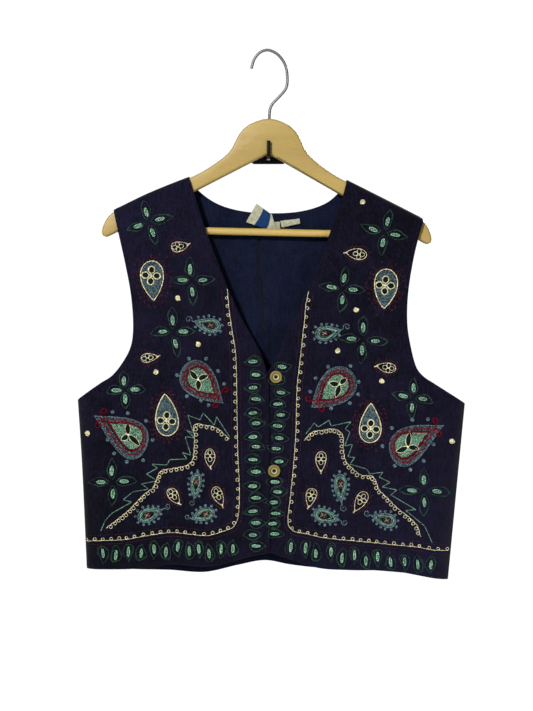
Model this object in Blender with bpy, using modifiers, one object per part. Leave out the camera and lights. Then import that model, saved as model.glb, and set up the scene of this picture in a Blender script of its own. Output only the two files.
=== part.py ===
"""Embroidered folk vest on a wooden hanger, hung on a wall hook.

The front of the vest faces -Y, +X is the viewer's right and +Z is up. The origin is on the back of the
wall hook's plate, level with the apex of the hanger's arch. All sizes below are in millimetres, and depth
is the distance in front of the wall.
"""

import math

import bmesh
import bpy
from mathutils import Vector

MM = 0.001

# Cloth
CLOTH = 1.6
SEAM_HALF_GAP = 0.4
SEAM_TURN_POWER = 2.5

# Where the seams lie, and how far the cloth takes to turn round them
SHOULDER_SEAM_DEPTH = 20.0
SHOULDER_TURN = 11.5
SIDE_SEAM_DEPTH = 22.0
SIDE_TURN = 30.0

# How far in front of the wall the outer face of each panel hangs: height, depth
FRONT_HANG = ((-30, 31.2), (-110, 33.5), (-200, 37.0), (-300, 41.0), (-420, 43.0), (-560, 44.0))
BACK_HANG = ((-30, 8.8), (-110, 9.0), (-250, 8.0), (-420, 7.5), (-560, 8.5))

# Left front, from the viewer: across, height
LEFT_SHOULDER = ((-206.0, -72.5), (-156.0, -50.8), (-106.0, -28.6))
LEFT_ARMHOLE = (
    (-206.0, -72.5),
    (-200.5, -98.0),
    (-190.0, -144.5),
    (-182.0, -187.0),
    (-179.0, -228.0),
    (-181.5, -253.0),
    (-190.0, -272.0),
    (-206.0, -293.0),
    (-222.0, -303.5),
    (-254.0, -326.0),
)
LEFT_SIDE = ((-254.0, -326.0), (-248.5, -410.0), (-242.0, -549.0))
LEFT_NECK = (
    (-106.0, -28.6),
    (-98.5, -52.5),
    (-85.0, -96.0),
    (-66.5, -146.0),
    (-52.0, -182.0),
    (-36.5, -216.0),
    (-10.0, -265.0),
    (0.6, -299.0),
)
LEFT_CENTRE = ((0.6, -299.0), (1.4, -410.0), (2.0, -527.0))
LEFT_HEM = (
    (-242.0, -549.0),
    (-225.0, -549.0),
    (-183.0, -548.6),
    (-156.0, -546.6),
    (-130.0, -542.5),
    (-82.0, -545.3),
    (-57.0, -541.2),
    (-31.0, -534.1),
    (2.0, -527.0),
)

# Right front. Its centre edge runs on under the left front
UNDERLAP = 13.0
RIGHT_SHOULDER = ((206.0, -83.4), (156.0, -58.6), (104.5, -32.6))
RIGHT_ARMHOLE = (
    (206.0, -83.4),
    (200.0, -106.0),
    (191.0, -144.5),
    (184.5, -187.0),
    (183.5, -224.0),
    (187.0, -250.5),
    (195.0, -282.0),
    (204.0, -294.0),
    (218.0, -303.5),
    (261.5, -331.0),
)
RIGHT_SIDE = ((261.5, -331.0), (253.5, -413.0), (239.0, -563.5))
RIGHT_NECK = (
    (104.5, -32.6),
    (97.8, -57.6),
    (81.2, -104.5),
    (67.4, -146.1),
    (49.5, -183.1),
    (37.6, -212.2),
    (20.5, -246.6),
    (3.3, -282.2),
    (-UNDERLAP, -303.0),
)
RIGHT_CENTRE = ((-UNDERLAP, -303.0), (-UNDERLAP, -410.0), (-UNDERLAP, -524.0))
RIGHT_HEM = (
    (239.0, -563.5),
    (218.0, -560.8),
    (163.0, -551.2),
    (107.0, -549.9),
    (65.0, -546.9),
    (22.0, -534.1),
    (4.6, -527.5),
    (-UNDERLAP, -524.0),
)

# Back: its neck edge and its hem, from the viewer's left to right
BACK_NECK = (
    (-106.0, -28.6),
    (-93.1, -46.6),
    (-67.7, -64.0),
    (-35.5, -73.4),
    (4.7, -76.3),
    (44.9, -73.4),
    (77.1, -62.7),
    (97.2, -45.2),
    (104.5, -32.6),
)
BACK_HEM = (
    (-242.0, -549.0),
    (-186.0, -553.2),
    (-132.0, -554.5),
    (-85.0, -557.2),
    (-41.0, -547.8),
    (-5.0, -541.5),
    (29.0, -547.2),
    (66.0, -551.4),
    (140.0, -555.0),
    (239.0, -563.5),
)

# Share of each panel's outer edge that is armhole, the rest being side seam
ARMHOLE_SHARE = 0.57
# Shares of the back's top edge where its neckline starts and ends
NECK_STARTS = 0.23
NECK_ENDS = 0.77

# Rows of a panel, down its edges, above and below the underarm
ROWS_ABOVE = (0, 0.3, 1.6, 4.5, 9, 14, 30, 50, 72, 95, 118, 142, 166, 190, 214, 238, 260, 281, 300)
ROWS_BELOW = (22, 50, 80, 110, 140, 170, 200, 225)
# Columns by their distance from an edge: where the cloth turns round the side, where the back's neckline
# leaves the shoulder seam, and where the right front steps under the left one. The others are even.
SIDE_COLUMNS = (0, 0.6, 3, 8, 16, 30)
NECK_COLUMNS = (0, 1, 2.5, 5, 9, 15)
SEAM_END_COLUMNS = (0, 8)
LAP_COLUMNS = (0, 8, 14, 17, 20, 23, 26, 29, 36, 48)
PLAIN_COLUMNS = (0,)
COLUMN_PITCH = 20.0
FRONT_WIDTH = 250.0
BACK_WIDTH = 482.0

# Where the right front passes under the left one: how deep, and where the step starts and ends
LAP_STEP = 3.0
LAP_INNER = 3.0
LAP_OUTER = 15.0

# Soft folds: from across, from height, to across, to height, width, height of the fold
FRONT_FOLDS = (
    (-168.0, -80.0, -150.0, -300.0, 17.0, 2.4),
    (-128.0, -120.0, -96.0, -330.0, 15.0, -1.8),
    (-205.0, -330.0, -214.0, -545.0, 22.0, 2.2),
    (-140.0, -400.0, -130.0, -560.0, 20.0, -3.0),
    (-82.0, -430.0, -84.0, -560.0, 18.0, 2.6),
    (-30.0, -470.0, -24.0, -545.0, 14.0, -1.6),
    (172.0, -90.0, 158.0, -300.0, 18.0, 2.2),
    (122.0, -110.0, 96.0, -320.0, 15.0, -1.8),
    (214.0, -340.0, 205.0, -560.0, 22.0, 2.6),
    (150.0, -380.0, 140.0, -565.0, 20.0, -2.8),
    (88.0, -420.0, 84.0, -560.0, 18.0, 2.6),
    (36.0, -470.0, 40.0, -550.0, 14.0, -1.8),
)
BACK_FOLDS = (
    (-12.0, -90.0, -10.0, -340.0, 7.0, 3.2),
    (57.0, -95.0, 44.0, -350.0, 9.0, -2.2),
    (-64.0, -240.0, -80.0, -540.0, 20.0, 2.4),
    (30.0, -380.0, 34.0, -545.0, 16.0, 2.2),
    (118.0, -160.0, 108.0, -420.0, 18.0, 2.0),
    (-150.0, -120.0, -140.0, -330.0, 18.0, 1.8),
    (172.0, -380.0, 178.0, -555.0, 20.0, 2.6),
    (-190.0, -400.0, -186.0, -550.0, 20.0, 2.0),
)
FOLD_FADE = 0.22

# Buttons: across and height of each centre
BUTTONS = {"button_upper": (9.8, -295.3), "button_lower": (7.4, -419.0)}
BUTTON_CLEARANCE = 0.8
SHANK_RADIUS = 1.6
SHANK_SEAT = 0.4
# Turned profile from the back's centre out and round to the dish: radius, height
BUTTON_PROFILE = (
    (0.0, 0.0),
    (6.4, 0.0),
    (8.0, 1.1),
    (8.2, 1.9),
    (7.7, 2.8),
    (6.8, 3.1),
    (5.9, 2.7),
    (5.2, 2.3),
    (4.5, 2.5),
    (4.1, 2.1),
    (3.7, 1.4),
    (0.0, 1.3),
)
BUTTON_SEGMENTS = 20
HOLE_RADIUS = 0.8
HOLE_SPREAD = 1.35
HOLE_FLOOR = 0.3

# Labels on the inside of the back neck, each by its four corners: across, height
LABEL_THICKNESS = 1.0
LABEL_GAP = 0.3
LABELS = {
    "neck_label": ((-16.0, -63.7), (4.5, -78.5), (-30.0, -88.5), (14.0, -104.0)),
    "care_label": ((8.9, -88.2), (17.4, -88.0), (14.8, -104.0), (18.4, -104.0)),
    "size_label": ((19.0, -86.8), (43.6, -83.4), (21.2, -95.4), (44.6, -90.8)),
}
# How far each label stands off the back: at its top left, top right, bottom left, bottom right, middle
LABEL_LIFT = {
    "neck_label": (2.2, 1.6, 2.6, 0.0, 0.9),
    "care_label": (0.0, 0.0, 1.2, 1.2, 0.4),
    "size_label": (0.0, 1.6, 1.2, 2.4, 0.6),
}
LABEL_STEPS = 6

# Wooden hanger: its right half from the top of the block round to the apex of the arch
HANGER_TILT = 1.3
HANGER_DEPTH = 20.0
HANGER_THICKNESS = 15.0
HANGER_EDGE = 4.5
HANGER_TOP = (
    (0.0, 48.2),
    (8.6, 47.1),
    (25.2, 40.5),
    (33.9, 33.8),
    (39.2, 27.2),
    (42.6, 20.5),
    (45.8, 13.8),
    (48.9, 7.2),
    (53.8, 0.6),
    (61.1, -6.0),
    (77.0, -17.8),
    (95.7, -29.1),
    (150.0, -54.7),
    (203.7, -80.3),
)
HANGER_TIP = (
    (203.7, -80.3),
    (210.6, -86.4),
    (215.6, -94.5),
    (218.7, -103.0),
    (219.4, -108.4),
    (217.8, -112.4),
    (213.6, -113.6),
    (206.0, -110.2),
)
HANGER_UNDER = ((206.0, -110.2), (93.0, -48.4), (21.0, -9.2), (5.0, -0.9), (0.0, 0.0))
TOP_STEPS = 26
TIP_STEPS = 11

# Trouser bar and the bores that hold its ends
BAR_HEIGHT = -102.7
BAR_RADIUS = 4.8
BAR_HALF_LENGTH = 205.0
BORE_CLEARANCE = 0.3

# Wire hook: its route from inside the wood to its open end, across and height
WIRE_RADIUS = 1.9
WIRE_ROUTE = (
    (0.0, 35.0),
    (0.0, 50.0),
    (0.8, 62.0),
    (4.2, 69.0),
    (13.7, 79.6),
    (20.4, 88.0),
    (22.8, 96.0),
    (22.5, 108.5),
    (20.6, 118.0),
    (15.8, 127.4),
    (7.5, 135.8),
    (-4.0, 140.2),
    (-14.6, 136.6),
    (-22.0, 127.2),
    (-25.4, 115.1),
)
WIRE_POINTS = 54

# Wall hook
PLATE_WIDTH = 46.0
PLATE_BOTTOM = -9.6
PLATE_TOP = 36.0
PLATE_THICKNESS = 4.0
PLATE_CORNER = 4.0
ARM_WIDTH = 5.0
ARM_EDGE = 0.8
# Side outline of the arm and prong: depth, height
ARM_OUTLINE = (
    (2.0, -0.6),
    (28.6, -0.6),
    (28.6, 15.8),
    (29.3, 17.6),
    (31.0, 18.3),
    (32.7, 17.6),
    (33.4, 15.8),
    (33.4, -3.4),
    (32.4, -5.6),
    (30.4, -6.4),
    (2.0, -6.4),
)


# Points, curves and tables


def curve_through(points):
    """A smooth curve through the points, as a function of the share of its length."""
    spots = [Vector(point) for point in points]
    reach = [0.0]
    for before, after in zip(spots, spots[1:]):
        reach.append(reach[-1] + (after - before).length)

    def slope(i):
        low = max(i - 1, 0)
        high = min(i + 1, len(spots) - 1)
        return (spots[high] - spots[low]) / (reach[high] - reach[low])

    def at(share):
        distance = min(max(share, 0.0), 1.0) * reach[-1]
        i = 0
        while i < len(spots) - 2 and reach[i + 1] < distance:
            i += 1
        span = reach[i + 1] - reach[i]
        t = (distance - reach[i]) / span
        start = (1 + 2 * t) * (1 - t) ** 2
        leave = t * (1 - t) ** 2 * span
        end = t * t * (3 - 2 * t)
        arrive = t * t * (t - 1) * span
        return spots[i] * start + slope(i) * leave + spots[i + 1] * end + slope(i + 1) * arrive

    return at


def joined(pieces, shares):
    """Curves one after another, where shares are the places at which one gives way to the next."""
    limits = (0.0, *shares, 1.0)

    def at(share):
        i = 0
        while i < len(pieces) - 1 and share > limits[i + 1]:
            i += 1
        return pieces[i]((share - limits[i]) / (limits[i + 1] - limits[i]))

    return at


def patch(top, bottom, left, right):
    """The surface spanned by four edges that meet at their ends."""

    def at(u, v):
        across = left(v) * (1 - u) + right(v) * u
        down = top(u) * (1 - v) + bottom(u) * v
        upper = left(0) * (1 - u) + right(0) * u
        lower = left(1) * (1 - u) + right(1) * u
        return across + down - (upper * (1 - v) + lower * v)

    return at


def eased(t):
    t = min(max(t, 0.0), 1.0)
    return t * t * (3 - 2 * t)


def table_at(table, height):
    """The second column of a table whose rows go down in height, read between its rows."""
    if height >= table[0][0]:
        return table[0][1]
    for (high, first), (low, second) in zip(table, table[1:]):
        if height >= low:
            return first + (second - first) * eased((high - height) / (high - low))
    return table[-1][1]


def distance_to(line, point):
    """The distance from a point to a line of points."""
    nearest = math.inf
    for start, end in zip(line, line[1:]):
        start = Vector(start)
        run = Vector(end) - start
        share = min(max((point - start).dot(run) / run.length_squared, 0.0), 1.0)
        nearest = min(nearest, (point - start - run * share).length)
    return nearest


# The form of the cloth


def turned(distance, reach):
    """How far cloth has turned away from a seam, from 0 on the seam to 1 past its reach."""
    left = 1 - min(distance / reach, 1.0)
    return (1 - left**SEAM_TURN_POWER) ** (1 / SEAM_TURN_POWER)


def fold_depth(folds, point):
    total = 0.0
    for across, height, to_across, to_height, width, rise in folds:
        start = Vector((across, height))
        run = Vector((to_across, to_height)) - start
        share = (point - start).dot(run) / run.length_squared
        off = (point - start - run * share).length / width
        fade = eased(share / FOLD_FADE) * eased((1 - share) / FOLD_FADE)
        total += rise * fade * math.exp(-off * off)
    return total


def hung_depth(hang, folds, shoulders, sides, gap, point):
    """Depth of a panel's outer face: over the shoulders, down the hang and round to the side seams."""
    shoulder = SHOULDER_SEAM_DEPTH + gap
    side = SIDE_SEAM_DEPTH + gap
    free = table_at(hang, point.y) + fold_depth(folds, point)
    from_shoulder = min(distance_to(line, point) for line in shoulders)
    from_side = min(distance_to(line, point) for line in sides)
    over = shoulder + (free - shoulder) * turned(from_shoulder, SHOULDER_TURN)
    return side + (over - side) * turned(from_side, SIDE_TURN)


def left_depth(point):
    return hung_depth(FRONT_HANG, FRONT_FOLDS, (LEFT_SHOULDER,), (LEFT_SIDE,), SEAM_HALF_GAP, point)


def right_depth(point):
    depth = hung_depth(FRONT_HANG, FRONT_FOLDS, (RIGHT_SHOULDER,), (RIGHT_SIDE,), SEAM_HALF_GAP, point)
    under = eased((LAP_OUTER - point.x) / (LAP_OUTER - LAP_INNER))
    return depth - LAP_STEP * under


def back_depth(point):
    shoulders = (LEFT_SHOULDER, RIGHT_SHOULDER)
    sides = (LEFT_SIDE, RIGHT_SIDE)
    return hung_depth(BACK_HANG, BACK_FOLDS, shoulders, sides, -SEAM_HALF_GAP, point)


def panel_rows():
    upper = [ARMHOLE_SHARE * row / ROWS_ABOVE[-1] for row in ROWS_ABOVE]
    lower = [ARMHOLE_SHARE + (1 - ARMHOLE_SHARE) * row / ROWS_BELOW[-1] for row in ROWS_BELOW]
    return upper + lower


def columns_between(width, first, last):
    """Column places as shares of a width: those of each end, with even ones between them."""
    end = width - last[-1]
    count = round((end - first[-1]) / COLUMN_PITCH)
    even = [first[-1] + (end - first[-1]) * i / count for i in range(1, count)]
    places = [*first, *even, *(width - place for place in reversed(last))]
    return [place / width for place in places]


def back_columns():
    zones = (
        (0.0, NECK_STARTS, SIDE_COLUMNS, SEAM_END_COLUMNS),
        (NECK_STARTS, NECK_ENDS, NECK_COLUMNS, NECK_COLUMNS),
        (NECK_ENDS, 1.0, SEAM_END_COLUMNS, SIDE_COLUMNS),
    )
    shares = [0.0]
    for start, end, first, last in zones:
        inside = columns_between(BACK_WIDTH * (end - start), first, last)
        shares += [start + (end - start) * share for share in inside[1:]]
    return shares


# Meshes and objects


def material(name, colour, roughness, metallic=0.0):
    made = bpy.data.materials.new(name)
    made.use_nodes = True
    shader = made.node_tree.nodes["Principled BSDF"]
    shader.inputs["Base Color"].default_value = (*colour, 1.0)
    shader.inputs["Roughness"].default_value = roughness
    shader.inputs["Metallic"].default_value = metallic
    return made


def add_object(name, mesh, collection, finish):
    made = bpy.data.objects.new(name, mesh)
    collection.objects.link(made)
    mesh.materials.clear()
    mesh.materials.append(finish)
    return made


def sheet_mesh(name, rows, faces_viewer):
    """A mesh of quads over rows of points in millimetres, with its face towards or away from the viewer."""
    form = bmesh.new()
    grid = [[form.verts.new(point * MM) for point in row] for row in rows]
    for upper, lower in zip(grid, grid[1:]):
        for i in range(len(upper) - 1):
            form.faces.new((upper[i], lower[i], lower[i + 1], upper[i + 1]))
    form.normal_update()
    towards = sum(face.normal.y * face.calc_area() for face in form.faces) < 0
    if towards != faces_viewer:
        bmesh.ops.reverse_faces(form, faces=form.faces)
    mesh = bpy.data.meshes.new(name)
    form.to_mesh(mesh)
    form.free()
    mesh.shade_smooth()
    return mesh


def thicken(made, thickness):
    """A closed wall behind the object's face."""
    wall = made.modifiers.new("Wall", "SOLIDIFY")
    wall.thickness = thickness * MM
    wall.offset = -1.0
    wall.use_even_offset = True
    return made


def cloth_panel(name, surface, columns, depth, faces_viewer, collection, finish):
    rows = []
    for v in panel_rows():
        spots = [surface(u, v) for u in columns]
        rows.append([Vector((spot.x, -depth(spot), spot.y)) for spot in spots])
    made = add_object(name, sheet_mesh(name, rows, faces_viewer), collection, finish)
    return thicken(made, CLOTH)


def add_fronts(collection, finish):
    left = patch(
        curve_through(LEFT_SHOULDER),
        curve_through(LEFT_HEM),
        joined((curve_through(LEFT_ARMHOLE), curve_through(LEFT_SIDE)), (ARMHOLE_SHARE,)),
        joined((curve_through(LEFT_NECK), curve_through(LEFT_CENTRE)), (ARMHOLE_SHARE,)),
    )
    right = patch(
        curve_through(RIGHT_SHOULDER),
        curve_through(RIGHT_HEM),
        joined((curve_through(RIGHT_ARMHOLE), curve_through(RIGHT_SIDE)), (ARMHOLE_SHARE,)),
        joined((curve_through(RIGHT_NECK), curve_through(RIGHT_CENTRE)), (ARMHOLE_SHARE,)),
    )
    left_columns = columns_between(FRONT_WIDTH, SIDE_COLUMNS, PLAIN_COLUMNS)
    right_columns = columns_between(FRONT_WIDTH + UNDERLAP, SIDE_COLUMNS, LAP_COLUMNS)
    cloth_panel("front_left", left, left_columns, left_depth, True, collection, finish)
    cloth_panel("front_right", right, right_columns, right_depth, True, collection, finish)


def add_back(collection, finish):
    top = joined(
        (
            curve_through(LEFT_SHOULDER),
            curve_through(BACK_NECK),
            curve_through(tuple(reversed(RIGHT_SHOULDER))),
        ),
        (NECK_STARTS, NECK_ENDS),
    )
    surface = patch(
        top,
        curve_through(BACK_HEM),
        joined((curve_through(LEFT_ARMHOLE), curve_through(LEFT_SIDE)), (ARMHOLE_SHARE,)),
        joined((curve_through(RIGHT_ARMHOLE), curve_through(RIGHT_SIDE)), (ARMHOLE_SHARE,)),
    )
    cloth_panel("back", surface, back_columns(), back_depth, False, collection, finish)


def add_label(name, collection, finish):
    """A small woven label that follows the inside of the back and stands off it at its free corners."""
    corners = [Vector(corner) for corner in LABELS[name]]
    lifts = LABEL_LIFT[name]
    rows = []
    for j in range(LABEL_STEPS + 1):
        v = j / LABEL_STEPS
        row = []
        for i in range(LABEL_STEPS + 1):
            u = i / LABEL_STEPS
            weights = ((1 - u) * (1 - v), u * (1 - v), (1 - u) * v, u * v)
            spot = sum((corner * weight for corner, weight in zip(corners, weights)), Vector((0, 0)))
            lift = sum(height * weight for height, weight in zip(lifts, weights))
            lift += lifts[4] * math.sin(math.pi * u) * math.sin(math.pi * v)
            inside = back_depth(spot) + CLOTH + LABEL_GAP + LABEL_THICKNESS
            row.append(Vector((spot.x, -(inside + lift), spot.y)))
        rows.append(row)
    made = add_object(name, sheet_mesh(name, rows, True), collection, finish)
    thicken(made, LABEL_THICKNESS)


def add_cutter(name, radius, length, turn, place, cutters):
    """A cylinder that cuts a bore, hidden from the finished part."""
    bpy.ops.mesh.primitive_cylinder_add(vertices=16, radius=radius * MM, depth=length * MM)
    cutter = bpy.context.object
    cutter.name = name
    for held in cutter.users_collection:
        held.objects.unlink(cutter)
    cutters.objects.link(cutter)
    cutter.rotation_euler = turn
    cutter.location = Vector(place) * MM
    cutter.hide_render = True
    cutter.display_type = "WIRE"
    return cutter


def boolean(made, other, operation):
    cut = made.modifiers.new(f"{operation.title()} {other.name}", "BOOLEAN")
    cut.operation = operation
    cut.solver = "EXACT"
    cut.object = other


def add_button(name, collection, cutters, finish):
    """A turned four-hole button with a thread shank, facing the viewer."""
    across, height = BUTTONS[name]
    beside = (across - SHANK_RADIUS, across + SHANK_RADIUS)
    seat = max(right_depth(Vector((x, height))) for x in beside) + SHANK_SEAT
    back = left_depth(Vector((LEFT_CENTRE[0][0], height))) + BUTTON_CLEARANCE
    shank = back - seat
    profile = [(0.0, -shank), (SHANK_RADIUS, -shank), (SHANK_RADIUS, 0.0), *BUTTON_PROFILE[1:]]
    mesh = bpy.data.meshes.new(name)
    edges = [(i, i + 1) for i in range(len(profile) - 1)]
    mesh.from_pydata([(radius * MM, 0.0, rise * MM) for radius, rise in reversed(profile)], edges, [])
    made = add_object(name, mesh, collection, finish)
    turn = made.modifiers.new("Turn", "SCREW")
    turn.axis = "Z"
    turn.angle = math.tau
    turn.steps = BUTTON_SEGMENTS
    turn.render_steps = BUTTON_SEGMENTS
    turn.use_merge_vertices = True
    turn.merge_threshold = MM * 0.01
    turn.use_smooth_shade = True
    made.rotation_euler = (math.pi / 2, 0.0, 0.0)
    made.location = Vector((across, -back, height)) * MM
    hole_length = 4.0
    for i in range(4):
        side = HOLE_SPREAD if i % 2 else -HOLE_SPREAD
        rise = HOLE_SPREAD if i // 2 else -HOLE_SPREAD
        middle = back + HOLE_FLOOR + hole_length / 2
        place = (across + side, -middle, height + rise)
        hole = add_cutter(
            f"{name}_hole_{i}", HOLE_RADIUS, hole_length, (math.pi / 2, 0.0, 0.0), place, cutters
        )
        boolean(made, hole, "DIFFERENCE")


def flat_solid(name, outline, thickness, collection, finish):
    """A closed slab: an outline of (across, height) rows, with half its thickness each side of Y 0."""
    form = bmesh.new()
    half = thickness / 2
    verts = [form.verts.new(Vector((across, -half, height)) * MM) for across, height in outline]
    face = form.faces.new(verts)
    form.normal_update()
    if face.normal.y > 0:
        bmesh.ops.reverse_faces(form, faces=[face])
    made = bmesh.ops.extrude_face_region(form, geom=[face])
    moved = [item for item in made["geom"] if isinstance(item, bmesh.types.BMVert)]
    bmesh.ops.translate(form, verts=moved, vec=Vector((0.0, thickness, 0.0)) * MM)
    bmesh.ops.recalc_face_normals(form, faces=form.faces)
    mesh = bpy.data.meshes.new(name)
    form.to_mesh(mesh)
    form.free()
    return add_object(name, mesh, collection, finish)


def round_edges(made, width, segments):
    edge = made.modifiers.new("Edges", "BEVEL")
    edge.width = width * MM
    edge.segments = segments
    edge.limit_method = "ANGLE"
    edge.angle_limit = math.radians(60)
    edge.use_clamp_overlap = False


def hanger_outline():
    """The whole outline of the wood, from the apex of the arch round by the right."""
    top = curve_through(HANGER_TOP)
    tip = curve_through(HANGER_TIP)
    half = [top(i / TOP_STEPS) for i in range(TOP_STEPS)]
    half += [tip(i / TIP_STEPS) for i in range(TIP_STEPS)]
    half += [Vector(point) for point in HANGER_UNDER]
    inner = half[1:-1]
    return half + [Vector((-point.x, point.y)) for point in reversed(inner)]


def add_hanger(collection, cutters, wood, chrome):
    frame = bpy.data.objects.new("hanger_frame", None)
    collection.objects.link(frame)
    frame.location = Vector((0.0, -HANGER_DEPTH, 0.0)) * MM
    frame.rotation_euler = (0.0, math.radians(HANGER_TILT), 0.0)

    body = flat_solid("hanger_wood", hanger_outline(), HANGER_THICKNESS, collection, wood)
    round_edges(body, HANGER_EDGE, 3)
    bore = add_cutter(
        "bar_bore",
        BAR_RADIUS + BORE_CLEARANCE,
        2 * (BAR_HALF_LENGTH + BORE_CLEARANCE),
        (0.0, math.pi / 2, 0.0),
        (0.0, 0.0, BAR_HEIGHT),
        cutters,
    )
    wire_start = WIRE_ROUTE[0][1]
    stem = add_cutter(
        "wire_bore",
        WIRE_RADIUS + BORE_CLEARANCE,
        2 * (HANGER_TOP[0][1] - wire_start + BORE_CLEARANCE),
        (0.0, 0.0, 0.0),
        (0.0, 0.0, HANGER_TOP[0][1]),
        cutters,
    )
    for cutter in (bore, stem):
        cutter.parent = frame
        boolean(body, cutter, "DIFFERENCE")

    bpy.ops.mesh.primitive_cylinder_add(
        vertices=20, radius=BAR_RADIUS * MM, depth=2 * BAR_HALF_LENGTH * MM
    )
    bar = bpy.context.object
    mesh = bar.data
    bpy.data.objects.remove(bar)
    bar = add_object("hanger_bar", mesh, collection, wood)
    bar.rotation_euler = (0.0, math.pi / 2, 0.0)
    bar.location = Vector((0.0, 0.0, BAR_HEIGHT)) * MM

    route = curve_through(WIRE_ROUTE)
    wire = bpy.data.curves.new("hanger_hook", "CURVE")
    wire.dimensions = "3D"
    wire.bevel_depth = WIRE_RADIUS * MM
    wire.bevel_resolution = 2
    wire.use_fill_caps = True
    spline = wire.splines.new("POLY")
    spline.points.add(WIRE_POINTS)
    for i, point in enumerate(spline.points):
        spot = route(i / WIRE_POINTS)
        point.co = (spot.x * MM, 0.0, spot.y * MM, 1.0)
    hook = add_object("hanger_hook", wire, collection, chrome)
    for piece in (body, bar, hook):
        piece.parent = frame


def rounded_plate():
    """The wall plate's outline, with a quarter circle at each corner."""
    outline = []
    middle = (PLATE_TOP + PLATE_BOTTOM) / 2
    reach_across = PLATE_WIDTH / 2 - PLATE_CORNER
    reach_up = (PLATE_TOP - PLATE_BOTTOM) / 2 - PLATE_CORNER
    steps = 4
    for i, (side, rise) in enumerate(((1, 1), (-1, 1), (-1, -1), (1, -1))):
        for j in range(steps + 1):
            angle = math.pi / 2 * (i + j / steps)
            across = side * reach_across + PLATE_CORNER * math.cos(angle)
            outline.append((across, middle + rise * reach_up + PLATE_CORNER * math.sin(angle)))
    return outline


def add_wall_hook(collection, cutters, finish):
    plate = flat_solid("wall_hook", rounded_plate(), PLATE_THICKNESS, collection, finish)
    plate.location = Vector((0.0, -PLATE_THICKNESS / 2, 0.0)) * MM
    arm = flat_solid("wall_hook_arm", ARM_OUTLINE, ARM_WIDTH, cutters, finish)
    arm.rotation_euler = (0.0, 0.0, -math.pi / 2)
    round_edges(arm, ARM_EDGE, 1)
    arm.hide_render = True
    arm.display_type = "WIRE"
    boolean(plate, arm, "UNION")


def main():
    for old in list(bpy.data.objects):
        bpy.data.objects.remove(old)
    vest = bpy.data.collections.new("Embroidered vest on hanger")
    cutters = bpy.data.collections.new("Cutters")
    for collection in (vest, cutters):
        bpy.context.scene.collection.children.link(collection)

    navy = material("Navy cotton", (0.008, 0.008, 0.018), 0.9)
    lining = material("Navy lining", (0.009, 0.012, 0.03), 0.8)
    horn = material("Horn buttons", (0.42, 0.29, 0.09), 0.4)
    cream = material("Cream label", (0.62, 0.57, 0.38), 0.85)
    wood = material("Varnished beech", (0.55, 0.36, 0.14), 0.45)
    chrome = material("Chrome wire", (0.75, 0.75, 0.75), 0.15, metallic=1.0)
    black = material("Black plastic", (0.005, 0.005, 0.005), 0.25)

    add_fronts(vest, navy)
    add_back(vest, lining)
    for name in BUTTONS:
        add_button(name, vest, cutters, horn)
    for name in LABELS:
        add_label(name, vest, cream)
    add_hanger(vest, cutters, wood, chrome)
    add_wall_hook(vest, cutters, black)


if __name__ == "__main__":
    main()
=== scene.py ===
"""Looks of an embroidered folk vest that hangs on a wooden hanger from a wall hook.

Sizes in the tables are millimetres. Across is +X, height is +Z, and depth is the distance in front of the
wall, along -Y. The patterns are laid out on a flat plane in front of the vest and dropped onto the cloth.
"""

import math
import random

import bmesh
import bpy
import numpy as np
from mathutils import Matrix, Vector


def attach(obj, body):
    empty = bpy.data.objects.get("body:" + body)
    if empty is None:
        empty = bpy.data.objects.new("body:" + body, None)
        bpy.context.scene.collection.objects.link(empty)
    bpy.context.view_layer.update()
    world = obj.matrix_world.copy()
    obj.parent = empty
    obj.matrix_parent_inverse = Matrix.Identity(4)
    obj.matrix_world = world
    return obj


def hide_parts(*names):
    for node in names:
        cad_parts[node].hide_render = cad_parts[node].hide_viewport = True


bl_info = {
    "name": "Embroidered Folk Vest",
    "version": (1, 0, 0),
    "blender": (4, 5, 0),
    "location": "3D View > Sidebar > Folk Vest",
    "description": "Builds the cloth, embroidery, buttons, labels and hanger of a folk vest",
    "category": "Object",
}

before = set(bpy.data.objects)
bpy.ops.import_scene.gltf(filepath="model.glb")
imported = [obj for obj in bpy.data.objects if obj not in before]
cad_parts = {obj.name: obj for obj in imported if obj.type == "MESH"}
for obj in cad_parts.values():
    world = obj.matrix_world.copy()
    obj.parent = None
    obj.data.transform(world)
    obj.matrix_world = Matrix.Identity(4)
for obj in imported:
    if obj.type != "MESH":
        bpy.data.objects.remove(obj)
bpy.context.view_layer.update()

MM = 0.001
ROOT = "root"

# ---------------------------------------------------------------------------------------------------------
# Form of the cloth

SEAM_TURN_POWER = 2.5
# Width beside a seam that stays at the depth of the seam itself
SEAM_HOLD = 0.15
SEAM_STEPS = 73
SHOULDER_SEAM_DEPTH = 20.0
SHOULDER_TURN = 11.5
SIDE_SEAM_DEPTH = 22.0
SIDE_TURN = 30.0

# How far in front of the wall the outer face of each panel hangs: height, depth
FRONT_HANG = ((-30, 31.2), (-110, 33.5), (-200, 37), (-300, 41), (-420, 43), (-560, 44))
BACK_HANG = ((-30, 8.8), (-110, 9), (-250, 8), (-420, 7.5), (-560, 8.5))

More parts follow.
